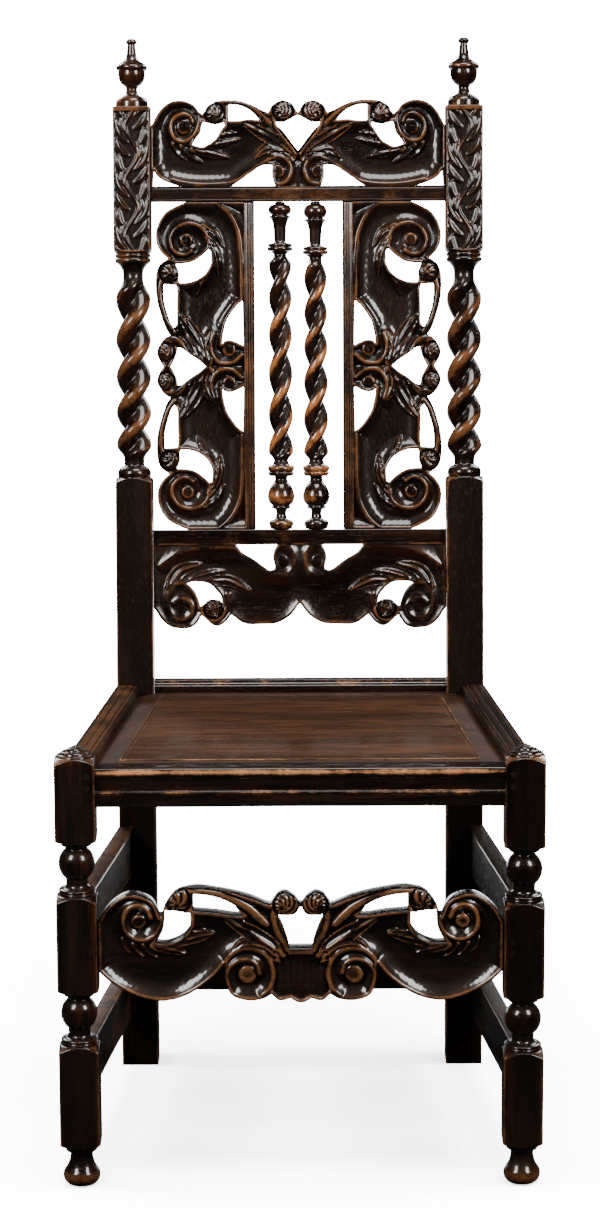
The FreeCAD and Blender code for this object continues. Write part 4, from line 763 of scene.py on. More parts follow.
def along_curve(x, y, points):
    """Share along a smooth curve through points, and signed distance across it: left is positive."""
    curve = through(points, 1.2)
    starts, span = curve[:-1], np.diff(curve, axis=0)
    lengths = np.linalg.norm(span, axis=1)
    before = np.concatenate([[0], np.cumsum(lengths)[:-1]])
    dx, dy = x[:, None] - starts[:, 0], y[:, None] - starts[:, 1]
    share = np.clip((dx * span[:, 0] + dy * span[:, 1]) / lengths ** 2, 0, 1)
    far2 = (dx - share * span[:, 0]) ** 2 + (dy - share * span[:, 1]) ** 2
    nearest = far2.argmin(axis=1)
    rows = np.arange(len(x))
    far = np.sqrt(far2[rows, nearest])
    side = span[nearest, 0] * dy[rows, nearest] - span[nearest, 1] * dx[rows, nearest]
    place = (before[nearest] + share[rows, nearest] * lengths[nearest]) / lengths.sum()
    return place, np.where(side >= 0, far, -far)


# %% [markdown]
# ## Carved forms
# The carver's gouges leave a few forms again and again: dished hollows behind raised rims, leaves of
# pointed lobes, eyes at the ends of scrolls, round buds and rounded stems. Each is a formula here,
# and every board is a list of them.

# %% Carved forms
NOTHING = -99.0


def dished(x, y, edge, ridges, rim=2.2, hollow=19.0, deepest=8.5):
    """Depth of a hollow that falls from every rim and ridge, as if scooped with a gouge.

    The nearest rim is the sawn edge or a ridge along a curve. From the rim's width inwards the
    hollow deepens fast and then flattens, as 1 - (1 - t)^2.4.
    """
    near = edge
    for points, width in ridges:
        near = np.minimum(near, np.abs(along_curve(x, y, points)[1]) + rim - width)
    t = np.clip((near - rim) / hollow, 0, 1)
    return -deepest * (1 - (1 - t) ** 2.4)


def lobe(x, y, ground, spine, width, crown):
    """Height of one leaf lobe on a ground: a blade that swells from its base and ends in a point.

    Its half width is s^0.4 (1 - s)^0.55 along the spine. Thin ridges run along its edges and its
    middle, at the peaks of |cos|^4 across it, and a short wall drops to the ground.
    """
    place, across = along_curve(x, y, spine)
    share = 0.06 + 0.94 * place
    half = width * 1.9 * share ** 0.4 * np.clip(1 - share, 0, 1) ** 0.55 + 0.01
    ridge = np.cos(math.pi * np.clip(across / half, -1, 1)) ** 4
    top = np.minimum(ground + crown, -0.3) - min(0.45 * crown, 1.6) * (1 - ridge) * ease(place * 6)
    return ground + (top - ground) * ease((half - np.abs(across)) / 1.5)


def eye(x, y, ground, centre, radius, level):
    """Height of a scroll's eye on a ground: a low round disc with a steep side."""
    far = np.hypot(x - centre[0], y - centre[1]) / radius
    top = level - 1.3 * np.clip(far, 0, 1) ** 4
    return ground + (top - ground) * ease((1 - far) * radius / 1.4)


def bud(x, y, centre, radius, mouth, petals=7, swirl=0.4):
    """Height of a bud: a ball with flutes that spread from its mouth and swirl a little.

    The mouth is a direction in degrees. The flutes are grooves at even angles around a point
    towards it.
    """
    dx, dy = x - centre[0], y - centre[1]
    far = np.hypot(dx, dy) / radius
    dome = -7.0 + 6.8 * np.sqrt(np.clip(1 - far ** 2, 0, 1))
    mx = dx - 0.42 * radius * math.cos(math.radians(mouth))
    my = dy - 0.42 * radius * math.sin(math.radians(mouth))
    out = np.hypot(mx, my) / radius
    angle = np.arctan2(my, mx) + swirl * out * 2.2
    groove = (0.5 + 0.5 * np.cos(petals * angle)) ** 1.6
    dome -= 1.5 * groove * ease((out - 0.14) * 3) + 1.4 * np.exp(-((out / 0.2) ** 2))
    return np.where(far < 1, dome, NOTHING)


def roll(x, y, points, widths, base, crown):
    """Height of a rounded cord along a curve: a half circle across it on a base."""
    place, across = along_curve(x, y, points)
    out = across / np.interp(place, np.linspace(0, 1, len(widths)), widths)
    return np.where(np.abs(out) < 1, base + crown * np.sqrt(np.clip(1 - out ** 2, 0, 1)), NOTHING)


def all_forms(x, y, edge, ridges, eyes, lobes, rolls, buds, **dish):
    """Height of a board's carving from the lists of its forms.

    Eyes and lobes rise from the dished ground. Rolls and buds take the place of what is under them.
    """
    ground = dished(x, y, edge, ridges, **dish)
    rising = [eye(x, y, ground, *row) for row in eyes] + [lobe(x, y, ground, *row) for row in lobes]
    height = np.maximum.reduce([ground] + rising)
    for form in [roll(x, y, *row) for row in rolls] + [bud(x, y, *row) for row in buds]:
        height = np.where(form > NOTHING, form, height)
    return height


def scratched(x, y, height, points, width=0.8, depth=1.0):
    """Cut a fine groove along a curve: a bell-shaped channel that fades at its ends."""
    place, across = along_curve(x, y, points)
    return height - depth * ease(place * 9) * ease((1 - place) * 9) * bell(across / width)


def tooled(x, y, height):
    """Faint gouge marks over the hollows: a product of slow waves, none on the rims."""
    marks = np.sin(x * 0.9 + 1.3 * np.sin(y * 0.21)) * np.sin(y * 0.55 + 0.8 * np.sin(x * 0.17))
    return height + 0.07 * marks * np.clip(-height / 4, 0, 1)


def rounded_edge(edge, radius=2.0):
    """Drop of the surface towards a sawn edge: a quarter circle."""
    return radius * (1 - np.sqrt(1 - (1 - np.clip(edge / radius, 0, 1)) ** 2))


def grooves(across, places):
    """A sum of fine bell-shaped grooves, 1 deep."""
    return sum(bell((across - place) / 0.6) for place in places)


# %% [markdown]
# ## Boards from a height
# A fretted board could be cut with Boolean tools, which leave ragged edges. Here the part of the
# grid inside the outline is kept, and the cells on the outline are cut along it, so the sawn edge is
# smooth and the board closed.

# %% Boards from a height
UNDERCUT, WALL_LEVELS = 1.6, (0.25, 0.6)


def blurred(values, weight, reach):
    """Average of a grid around each point, by a bell-shaped window of a reach in cells."""
    window = np.exp(-0.5 * (np.arange(-3 * reach, 3 * reach + 1) / reach) ** 2)

    def both(grid):
        """Blur along both axes."""
        for axis in (0, 1):
            grid = np.apply_along_axis(np.convolve, axis, grid, window, "same")
        return grid

    return both(values * weight) / np.maximum(both(weight), 1e-6)


CORNER_CASES = {
    1: "a ab da", 2: "b bc ab", 4: "c cd bc", 8: "d da cd", 3: "a b bc da", 6: "b c cd ab",
    12: "c d da bc", 9: "d a ab cd", 5: "a ab bc c cd da", 10: "b bc cd d da ab", 7: "a b c cd da",
    14: "b c d da ab", 13: "c d a ab bc", 11: "d a b bc cd", 15: "a b c d",
}


def board_grid(xs, ys, edge):
    """Points and polygons of the part of a grid that is inside an outline.

    Cells that the outline crosses are cut along it: each crossing lies where the edge distance,
    taken as straight between two corners, is zero. Also gives the stretches of the cut.
    """
    inside = edge > 0
    grid_x, grid_y = np.meshgrid(xs, ys)
    count = inside.sum()
    number = np.full(edge.shape, -1)
    number[inside] = np.arange(count)
    places, crossings = [np.stack([grid_x[inside], grid_y[inside]], axis=1)], []
    for here, there, step in ((np.s_[:, :-1], np.s_[:, 1:], (xs[1] - xs[0], 0)),
                              (np.s_[:-1], np.s_[1:], (0, ys[1] - ys[0]))):
        cut = inside[here] != inside[there]
        share = (edge[here][cut] / (edge[here][cut] - edge[there][cut]))[:, None]
        places.append(np.stack([grid_x[here][cut], grid_y[here][cut]], axis=1) + share * step)
        crossing = np.full(cut.shape, -1)
        crossing[cut] = count + np.arange(cut.sum())
        crossings.append(crossing)
        count += cut.sum()
    cross_x, cross_y = crossings
    corners = {
        "a": number[:-1, :-1], "b": number[:-1, 1:], "c": number[1:, 1:], "d": number[1:, :-1],
        "ab": cross_x[:-1], "bc": cross_y[:, 1:], "cd": cross_x[1:], "da": cross_y[:, :-1],
    }
    code = inside[:-1, :-1] * 1 + inside[:-1, 1:] * 2 + inside[1:, 1:] * 4 + inside[1:, :-1] * 8
    polygons, cuts = [], []
    for case, names in CORNER_CASES.items():
        chosen = code == case
        if not chosen.any():
            continue
        names = names.split()
        polygons.append(np.stack([corners[name][chosen] for name in names], axis=1))
        for name, after in zip(names, names[1:] + names[:1]):
            if len(name) == 2 and len(after) == 2:
                cuts.append(np.stack([corners[name][chosen], corners[after][chosen]], axis=1))
    return np.concatenate(places), polygons, np.concatenate(cuts)


def sample(grid, xs, ys, places):
    """Read a grid between its points, straight along both axes."""
    u = np.clip((places[:, 0] - xs[0]) / (xs[1] - xs[0]), 0, len(xs) - 1.001)
    v = np.clip((places[:, 1] - ys[0]) / (ys[1] - ys[0]), 0, len(ys) - 1.001)
    i, j = u.astype(int), v.astype(int)
    fu, fv = u - i, v - j
    low = grid[j, i] * (1 - fu) + grid[j, i + 1] * fu
    high = grid[j + 1, i] * (1 - fu) + grid[j + 1, i + 1] * fu
    return low * (1 - fv) + high * fv


def carved_board(name, outlines, carve, limits, front, back, place, rubbed, step=0.9, half=True,
                 round_over=1.5):
    """Make a carved board.

    The front is the carved height, held back from the front face and rounded over at the sawn edge.
    The back is flat and drawn in a little, so thin stems look lighter, and walls join the two along
    the outline. Half works out the right half and mirrors it. Rubbed gives more wear to chosen places.
    """
    low_x, high_x, low_y, high_y = limits
    xs = np.arange(0 if half else low_x - step, high_x + step * 1.5, step)
    middle = len(xs) - 1
    if half:
        xs = np.concatenate([-xs[:0:-1], xs])
    ys = np.arange(low_y - step, high_y + step * 1.5, step)
    grid_x, grid_y = np.meshgrid(xs, ys)
    work = grid_x >= 0 if half else np.ones(grid_x.shape, dtype=bool)
    edge = np.full(grid_x.shape, -9.0)
    edge[work] = edge_distance(grid_x[work], grid_y[work], outlines)
    height = np.full(grid_x.shape, -4.0)
    close = edge > -2 * step
    carved = carve(grid_x[close], grid_y[close], edge[close])
    height[close] = np.minimum(carved - rounded_edge(edge[close], round_over), 0)
    if half:
        for grid in (edge, height):
            grid[:, :middle] = grid[:, :middle:-1]
    weight = (edge > 0).astype(float)
    hollow = height - blurred(height, weight, 4)
    fine = height - blurred(height, weight, 2)
    # Raised falls with depth, so the deepest hollows turn darker. Fine lifts ridges and edges: rubbed wear
    # and a painted highlight along the carved lines.
    high = np.exp(np.clip(height + 0.3, -20, 0) / 2.2)
    raised = np.clip(0.14 + 0.34 * high + hollow * 0.06 + fine * 0.8 + rubbed(grid_x, grid_y), 0, 1)
    places, polygons, cuts = board_grid(xs, ys, edge)
    slope_y, slope_x = np.gradient(edge, ys, xs)
    lift, worn, inner, slope_x, slope_y = [
        sample(grid, xs, ys, places) for grid in (height, raised, edge, slope_x, slope_y)]
    inward = np.stack([slope_x, slope_y], axis=1)
    inward /= np.maximum(np.linalg.norm(inward, axis=1, keepdims=True), 0.5)
    drawn = places + inward * np.clip(1 - inner / (UNDERCUT * 3), 0, 1)[:, None] ** 2 * UNDERCUT
    count = len(places)
    rim, rim_index = np.unique(cuts.ravel(), return_inverse=True)
    stretches = rim_index.reshape(-1, 2)
    deep = front - lift[rim]
    layers, values, strips = [place(places[:, 0], front - lift, places[:, 1])], [worn], [cuts]
    for index, level in enumerate(WALL_LEVELS):
        inset = places[rim] + inward[rim] * UNDERCUT * level ** 2
        layers.append(place(inset[:, 0], deep + (back - deep) * level, inset[:, 1]))
        values.append(np.full(len(rim), 0.3))
        strips.append(stretches + count + len(rim) * index)
    behind = count + len(rim) * len(WALL_LEVELS)
    layers.append(place(drawn[:, 0], np.full(count, back), drawn[:, 1]))
    values.append(np.full(count, 0.15))
    strips.append(cuts + behind)
    walls = [np.stack([upper[:, 1], upper[:, 0], lower[:, 0], lower[:, 1]], axis=1)
             for upper, lower in zip(strips, strips[1:])]
    faces = polygons + [polygon[:, ::-1] + behind for polygon in polygons] + walls
    return add_piece(name, np.concatenate(layers), faces, np.concatenate(values), sharp=48)


# %% [markdown]
# ## Crest rail
# The crest has a straight bar along its foot. Above it two large scrolls run up and inwards, end in
# acanthus leaves at the middle, and carry buds on thin stems.

# %% Crest rail
POST_INNER = POST_X - HALF
CREST_EDGE = [
    [(0, 102), (1.6, 104), (5.7, 111), (10.9, 115), (17.2, 116.5), (24.4, 114.5), (30.7, 109),
      (34.2, 102)],
    [(42.1, 105.5), (49.4, 109.5), (57.7, 113), (68.1, 116), (78.5, 117), (88.9, 116.5), (97.2, 114.5),
      (104.5, 110), (107.6, 105), (110.6, 100.5)],
    [(114.9, 104), (119.1, 110), (126.4, 114.5), (135.7, 116.5), (146.1, 115), (154.4, 110),
      (161.7, 102), (166.9, 92), (170.5, 86)], [(170.5, 0)], [(0, 0)],
]
CREST_HOLES = [
    [[(168, 18), (166.5, 36)], [(163.8, 31), (158.6, 26.5), (151.3, 23), (143, 20), (136, 18)]],
    [[(77.5, 18), (68.1, 24), (59.8, 30), (52.5, 35), (44.2, 40.5), (36.9, 42.5), (29.6, 42)],
      [(30.2, 32), (28.6, 24), (26.5, 18)]],
    [[(80.1, 112), (70.2, 111.5), (59.8, 108), (50.4, 101), (44.2, 93.5)], [(57.7, 94.5), (68.1, 93),
      (80.1, 93)]],
    [[(109.7, 92), (103.5, 90.5), (96.2, 89), (90, 90), (85.8, 91.5)], [(84.8, 88), (88.9, 82),
      (92, 77), (97.2, 70), (103.5, 66), (109.7, 63), (117, 64), (122.2, 66)], [(118, 73), (112.8, 80),
      (111.3, 87), (109.7, 92)]],
]
CREST_SHIELD = [
    [(0, 100), (7.8, 96), (16.1, 92), (25.5, 92)],
    [(24.4, 88), (20.3, 84), (14, 77), (8.8, 70), (3.6, 63), (0, 58.5)],
]
CREST_FORMS = {
    "ridges": [
        ([(118, 111), (114.2, 101), (114.5, 90), (118, 80), (124, 73), (132, 69.5), (141, 72),
          (146, 80), (146.5, 89), (142, 97), (133, 101), (125, 98.5), (121.5, 92)], 1.0),
        ([(31, 22), (22, 20), (13, 24), (8, 34), (10.5, 45), (20, 51.5), (32, 49), (42, 43)], 1.1),
        ([(66, 24), (80, 20), (100, 18.5), (120, 19), (136, 21.5), (146, 24)], 2.6),
    ],
    "eyes": [((131.5, 86), 9.5, -1.6), ((22.5, 35), 8.0, -1.0)],
    "lobes": [
        ([(122, 60), (100, 56), (79, 51)], 6.5, 3.6), ([(114, 65), (92, 67), (65, 73)], 5.0, 3.0),
        ([(102, 74), (88, 77), (70, 80)], 4.0, 2.4), ([(136, 64), (125, 53), (110, 45)], 4.6, 3.0),
        ([(146, 68), (140, 57), (128, 48)], 3.4, 2.6),
        ([(6, 54), (24, 68), (44, 80), (66, 92)], 9.0, 5.6),
        ([(6, 50), (22, 59), (38, 61), (50, 50)], 8.0, 5.0),
    ],
    "rolls": [
        ([(94, 114), (78, 114.4), (62, 112), (50, 106), (40, 98), (30, 89)], (3.4, 2.8, 3.2, 4.5, 4.0),
          -6, 5.7), ([(3, 55), (11, 66), (19, 76), (26, 87), (28, 97)], (3.4, 3.2, 3.0, 3.4), -4.5, 4.2),
    ],
    "buds": [((96.5, 102), 12.5, -70), ((17.2, 104), 13, -35, 8, 0.9)],
}


def bar_face(up, low, high):
    """Flat face of a bar with a fine line scratched along both of its edges."""
    return -0.2 - 0.5 * grooves(up, (low + 2.6, high - 2.6))


def carve_crest(x, y, edge):
    """Height of the crest's right half."""
    height = all_forms(x, y, edge, **CREST_FORMS)
    height = scratched(x, y, height, [(3, 22), (2, 40), (9, 54), (24, 57), (40, 52)], 0.9)
    return np.where(y < 18, bar_face(y, 0, 18), tooled(x, y, height))


carved_board("crest_rail", outlines_of([CREST_EDGE, CREST_SHIELD], CREST_HOLES, -1, 1), carve_crest,
             (-POST_INNER, POST_INNER, 0, 117), BOARD_FRONT, BOARD_BACK,
             lambda across, deep, up: from_back(across, deep, CREST_BASE + up),
             lambda x, y: np.where(y < 18, 0.12, 0.05))

# %% [markdown]
# ## Splats
# A splat stands between the bars on each side. Its inner edge is a straight reeded strip, and a
# large scroll curls out from it above and below, mirrored about the middle.

# %% Splats
SPLAT_HALF = (CREST_BASE - LOWER_BAR_TOP) / 2
SPLAT_MIDDLE = (CREST_BASE + LOWER_BAR_TOP) / 2
SPLAT_INNER = 51.0
SPLAT_EDGE = [
    [(0, 0), (0, 189.7)], [(79, 189.7)],
    [(92, 184), (102, 178), (109, 169), (113, 159), (114, 148), (112, 139), (107, 131), (100, 124.5)],
    [(104, 122), (110, 117), (113.5, 108), (114.5, 91), (113, 76), (110, 64), (106, 51), (102, 42),
      (98, 36)], [(104, 33), (110, 26), (113.5, 18), (113, 12), (110, 6), (106, 0)],
]
SPLAT_WAIST = [
    [(98, 0), (94.5, 6), (91.5, 13), (89.5, 22)], [(85, 21), (75, 13.5), (65, 7), (57, 0)],
]
SPLAT_HOLES = [
    [[(91.5, 118.5), (82, 119), (72, 121), (65, 125), (57, 131.5), (53, 135.5)], [(50.5, 133),
      (50, 126), (50, 120), (53, 113), (57, 107), (64, 101.5), (72, 98), (80, 96.5), (87, 96.5)],
      [(88, 101), (88, 109), (91.5, 118.5)]],
    [[(105.6, 95), (97, 94.5), (90.5, 94)], [(89.5, 86), (90, 71), (90, 61), (90.5, 49), (94, 44.5)],
      [(97.5, 50), (101, 60), (104.2, 71), (105.6, 81), (105.6, 95)]],
    [[(14, 76), (20, 71), (27, 62), (33, 52), (35.5, 43), (37.5, 33), (38, 26)], [(35, 29), (28, 30),
      (22, 28), (13, 23.5)]],
]
SPLAT_FORMS = {
    "ridges": [
        ([(59, 121), (54.5, 132), (53.5, 145), (58, 157), (67, 163.5), (79, 165), (90, 160),
          (96.5, 150), (96.5, 139), (90, 131), (81, 129), (73, 133)], 1.0),
        ([(15, 13), (26, 4.5), (40, 4), (49, 13), (51, 26), (48, 37)], 1.1),
        ([(44, 190), (29, 176), (19, 156), (15.5, 130), (14.5, 80)], 1.5),
    ],
    "eyes": [((79, 146), 8.5, -1.8), ((30, 19), 8.5, -1.0)],
    "lobes": [
        ([(60, 163), (46, 155), (36, 137)], 4.6, 3.2), ([(54, 148), (45, 128), (41, 103)], 6.6, 3.6),
        ([(53, 124), (59, 102), (68, 80)], 5.0, 3.2),
        ([(58, 6), (65, 26), (76, 45), (89, 62)], 9.5, 5.6), ([(53, 4), (57, 22), (49, 42)], 8.0, 5.0),
    ],
    "rolls": [
        ([(108, 100), (110, 90), (109, 76), (105.5, 62), (101, 50), (94, 40)], (4.2, 4.4, 4.0, 4.8), -6,
          5.6), ([(78, 16), (86, 26), (95, 31), (104, 28), (109, 21)], (3.0, 5.0, 5.6, 5.0), -5, 4.6),
    ],
    "buds": [((99, 109), 12.5, -110), ((104, 17), 11.5, -60, 7, 0.9)],
}


def carve_splat(x, y, edge):
    """Height of a splat, by distance from its inner edge and from its middle."""
    up = np.abs(y)
    height = all_forms(x, up, edge, **SPLAT_FORMS)
    height = scratched(x, up, height, [(16, 84), (26, 72), (36, 58), (43, 44)], 0.8, 0.9)
    return np.where(x < 12, -0.3 - 0.75 * grooves(x, (2.0, 4.6, 7.2, 9.8)), tooled(x, up, height))


splat_outlines = outlines_of([SPLAT_EDGE, SPLAT_WAIST], SPLAT_HOLES, 1, -1)
for side, name in ((-1, "splat_left"), (1, "splat_right")):
    splat = carved_board(
        name, splat_outlines, carve_splat, (0, 115, -SPLAT_HALF, SPLAT_HALF),
        BOARD_FRONT + 1, BOARD_BACK - 1,
        lambda across, deep, up: from_back(side * (SPLAT_INNER + across), deep, SPLAT_MIDDLE + up),
        lambda x, y: np.where(x < 12, 0.2, 0.0), step=0.92, half=False)
    if side < 0:
        splat.data.flip_normals()

# %% [markdown]
# ## Lower rail of the back
# The same scrolls as the crest's, upside down: a bar above and the carving below it.

# %% Lower rail
LOWER_EDGE = [
    [(0, 188.6), (170.5, 188.6)], [(170.5, 98)],
    [(167, 93), (162, 85), (156, 79), (149, 75), (139, 73.5), (129, 74), (123, 77), (118, 83),
      (114.5, 89)], [(109, 84), (104, 79), (97, 76), (91, 78), (85, 83), (80, 89.5)],
    [(74, 85), (67, 80), (59, 78), (44, 78.3), (29, 79), (21, 82), (13, 87), (7, 93), (2, 100),
      (0, 102)],
]
LOWER_HOLES = [
    [[(74, 171), (26, 171)], [(30, 163), (31, 155), (29, 145), (30, 142)], [(35, 141), (43, 146),
      (51, 152), (59, 157), (67, 162), (74, 171)]],
    [[(132, 126), (125, 128), (117, 128), (109, 127), (102, 123), (97, 118), (92, 111), (90.5, 103.5)],
      [(95, 106), (101, 107), (107, 106), (112, 101.5), (116, 99)], [(118, 106), (121, 114), (126, 121),
      (132, 126)]],
]
LOWER_FORMS = {
    "ridges": [
        ([(26, 170), (17, 171), (9, 164), (6.5, 152), (10, 140), (20, 134.5), (33, 138), (48, 149),
          (62, 161), (77, 167.5), (104, 168), (126, 166), (142, 161), (155, 152.5), (164, 146)], 1.1),
        ([(116, 99), (119, 112), (128, 123.5), (140, 126.5), (149, 121.5), (154, 110), (153, 97),
          (147, 87), (137, 84), (128, 89), (125.5, 98), (130, 106), (139, 108.5), (147, 104)], 1.0),
        ([(84, 113), (84.5, 99), (91, 88), (102, 82)], 1.2),
    ],
    "eyes": [((20.5, 152), 8.0, -1.2), ((138, 97), 7.5, -1.8)],
    "lobes": [
        ([(152, 122), (139, 140), (113, 149)], 8.5, 3.8),
        ([(126, 132), (106, 138), (86, 141)], 5.0, 3.0), ([(106, 129), (84, 129), (57, 117)], 7.5, 3.6),
    ],
    "rolls": [],
    "buds": [((101, 96), 12, -40, 7, 1.6)],
    "hollow": 24,
    "deepest": 4.2,
}


def carve_lower(x, y, edge):
    """Height of the lower rail's right half."""
    height = tooled(x, y, all_forms(x, y, edge, **LOWER_FORMS))
    return np.where(y > 171, bar_face(y, 171, 188.6), height)


carved_board("lower_back_rail", outlines_of([LOWER_EDGE], LOWER_HOLES, -1, 1), carve_lower,
             (-POST_INNER, POST_INNER, 73, 188.6), BOARD_FRONT, BOARD_BACK, from_back,
             lambda x, y: np.where(y > 171, 0.1, 0.04))

# %% [markdown]
# ## Front stretcher
# The widest carving: the crest's scheme again, between the front legs, with a small reeded apron in
# the middle.

# %% Front stretcher
STRETCHER_EDGE = [
    [(0, 311), (6, 319), (15, 324), (24, 322), (32.5, 311)],
    [(55, 320), (85, 327), (113, 330), (133, 324), (143, 311), (147.5, 298)],
    [(155, 314), (167, 321), (181, 323), (195, 317), (206, 307), (214.5, 292)], [(214.5, 240)],
    [(201, 227), (180, 214.6), (158, 207.3), (145, 206.5), (128, 210), (110, 219), (92, 233.3),
      (81, 246.5)], [(80, 228), (73, 212.5), (56, 206.5), (40, 208.5), (31, 213.4)],
    [(23, 206.6), (11, 208.8)], [(4, 204.6), (0, 204)],
]
STRETCHER_HOLES = [
    [[(143, 306), (128, 303), (116, 303)], [(117, 288), (125, 277), (140, 270), (153, 270)],
      [(145, 286), (143, 306)]],
    [[(113, 323), (100, 321.5), (85, 318), (70, 310), (61, 300)], [(70, 300), (90, 303), (113, 305)]],
]
STRETCHER_SHIELD = [
    [(0, 309), (6, 300), (24, 299)], [(18, 286), (13, 270), (12, 264)], [(0, 264)],
]
STRETCHER_FORMS = {
    "ridges": [
        ([(148, 316), (145.5, 303), (147.5, 290), (153, 280), (164, 273.5), (176, 275), (185, 284),
          (187, 296), (182, 307), (171.5, 311), (162, 306), (158, 298)], 0.9),
        ([(82, 240), (78, 252), (68, 261), (54, 264), (41, 260), (32, 249), (29, 234), (33, 220),
          (42, 211)], 1.3),
        ([(80, 233), (75.5, 243), (67, 250), (56, 251.5), (46.5, 246), (44, 237)], 0.8),
    ],
    "eyes": [((171, 293), 8.5, -2.0), ((56.5, 235), 10.5, -1.2)],
    "lobes": [
        ([(138, 271), (116, 275), (91, 279)], 8.5, 4.6),
        ([(156, 267), (140, 264), (120, 257)], 7.5, 4.4),
        ([(167, 268), (160, 258), (150, 252)], 4.0, 3.0),
        ([(178, 269), (173, 260), (165, 253)], 3.6, 2.8),
        ([(189, 274), (186, 264), (179, 256)], 3.2, 2.4),
        ([(20, 258), (40, 272), (60, 285), (83, 299)], 10.5, 6.4),
        ([(21, 252), (42, 266), (60, 267), (74, 255)], 9.0, 5.8),
    ],
    "rolls": [
        ([(13, 262), (23, 281), (28, 297), (25, 309)], (5.5, 4.8, 4.4, 4.0), -4.5, 4.4),
        ([(122, 325), (104, 325.5), (86, 322), (68, 315), (52, 305), (36, 290)],
          (4.0, 4.4, 5.5, 6.5, 5.0), -7, 6.8),
    ],
    "buds": [((128.5, 316), 14, -70), ((15, 311), 15, -35, 8, 0.9)],
    "rim": 2.8,
    "hollow": 22,
    "deepest": 9.5,
}
LEG_INNER = LEG_X - HALF
STRETCHER_FRONT = FRONT_Y - HALF + 7.5


def carve_stretcher(x, y, edge):
    """Height of the front stretcher's right half, with a reeded apron and a short bar above it."""
    height = all_forms(x, y, edge, **STRETCHER_FORMS)
    apron = (x < 29.5) & (y < 261) & (np.hypot(x - 56, y - 236) > 27)
    reeds = -4.2 - 1.0 * np.abs(np.cos(math.pi * x / 7.0)) ** 6 - 2.6 * ease((y - 222) / 25)
    height = tooled(x, y, np.where(apron & (height < -1), reeds, height))
    bar = (x < 14) & (y > 256) & (y < 269)
    return np.where(bar, -0.3 - 2.2 * np.abs((y - 262.5) / 6.5) ** 2.5, height)


def rubbed_stretcher(x, y):
    """Extra wear along the top and on the eyes of the middle scrolls, and less on the apron."""
    x = np.abs(x)
    return (0.16 * ease((y - 294) / 8) - 0.12 * (x < 29) * (y < 256)
            + 0.3 * ease(9.5 - np.hypot(x - 56.5, y - 235)))


carved_board("stretcher_front", outlines_of([STRETCHER_EDGE, STRETCHER_SHIELD], STRETCHER_HOLES, -1, 1),
             carve_stretcher, (-LEG_INNER, LEG_INNER, 204, 330), 0.0, 24.0,
             lambda across, deep, up: spot(across, STRETCHER_FRONT + deep, up), rubbed_stretcher,
             step=1.0, round_over=1.9)

# %% [markdown]
# ## Rails and plain stretchers
# A rail is one moulded section carried straight from joint to joint. The section is drawn once as a
# closed run of points, with its corners eased by a small arc, and a tapering pair of lines carries it.

# %% Sections
BAR_RINGS = 60


def eased(corners, radius=1.2, count=4):
    """A closed section with each corner cut back and rounded by a short curve."""
    p = np.array(corners, dtype=float)
    result = []
    for before, here, after in zip(np.roll(p, 1, axis=0), p, np.roll(p, -1, axis=0)):
        back, on = before - here, after - here
        cut = min(radius, 0.45 * np.linalg.norm(back), 0.45 * np.linalg.norm(on))
        start = here + back / np.linalg.norm(back) * cut
        end = here + on / np.linalg.norm(on) * cut
        t = np.linspace(0, 1, count)[:, None]
        result.append((1 - t) ** 2 * start + 2 * t * (1 - t) * here + t ** 2 * end)
    return np.concatenate(result)


def corner_wear(section):
    """Raised value of each point of a section: how sharply the run turns to the left there.

    A run that goes anticlockwise is worn at its corners, one that goes clockwise in its grooves.
    """
    one, two = section - np.roll(section, 2, axis=0), np.roll(section, -2, axis=0) - section
    turn = one[:, 0] * two[:, 1] - one[:, 1] * two[:, 0]
    scale = np.linalg.norm(one, axis=1) * np.linalg.norm(two, axis=1) + 1e-6
    return np.clip(0.2 + 0.9 * turn / scale, 0, 1)


def make_bar(name, section, ends, rubbed=0.0):
    """A closed bar carried straight between its two ends, which are rings of the section's points."""
    share = np.linspace(0, 1, BAR_RINGS)[:, None, None]
    points = ends[0] * (1 - share) + ends[1] * share
    raised = np.broadcast_to(corner_wear(section) + rubbed, points.shape[:2])
    middle = points.mean(axis=1, keepdims=True)
    points = points + (points - middle) * (0.02 * unevenness(points, 31.0))[..., None]
    add_tube(name, points, raised, sharp=40).data.flip_normals()


def cross_bar(name, section, reach, front, base, rubbed=0.0):
    """A bar across the chair. Its section is (deep, up) from its front and its base."""
    ends = [spot(x, front + section[:, 0], base + section[:, 1]) for x in (-reach, reach)]
    make_bar(name, section, ends, rubbed)


# %% [markdown]
# ## Front and rear seat rails
# The front rail has a rounded nosing over a flat, with a small bead below. Hands and legs have
# rubbed its nosing to bright copper. The rear rail is square with a shallow lip.

# %% Front and rear seat rails
RAIL_BASE = SEAT - 43
FRONT_RAIL_FRONT = FRONT_Y - HALF + 2.5
REAR_RAIL_FRONT = REAR_Y - HALF + 18.5
front_section = eased([
    (25, 0), (25, 43), (5.5, 43), (2.0, 42.0), (0.3, 39.0), (0.0, 36.6), (1.0, 33.4), (3.2, 31.4),
    (3.4, 30.2), (4.6, 28.0), (5.0, 22.0), (4.4, 17.6), (3.0, 16.8), (2.6, 15.4), (3.1, 14.0),
    (4.2, 13.4), (4.2, 0),
], 0.9)[::-1]
high = front_section[:, 1]
nosing, bead = 0.98 * bell((high - 38.4) / 4.3), 0.75 * np.exp(-(((high - 15.8) / 1.3) ** 4))
cross_bar("seat_rail_front", front_section, LEG_INNER, FRONT_RAIL_FRONT, RAIL_BASE,
          nosing + bead - 0.12)
rear_section = eased([
    (24, 0), (24, 43), (12.4, 43), (11.9, 41.9), (11.1, 41.9), (10.2, 42.9), (6.0, 42.6), (2.6, 41.2),
    (1.6, 39.8), (1.4, 38.4), (0.2, 37.8), (0, 36), (0, 0),
], 0.9)[::-1]
lip = 0.5 * ease((rear_section[:, 1] - 38.6) / 1.5) * (rear_section[:, 0] < 20)
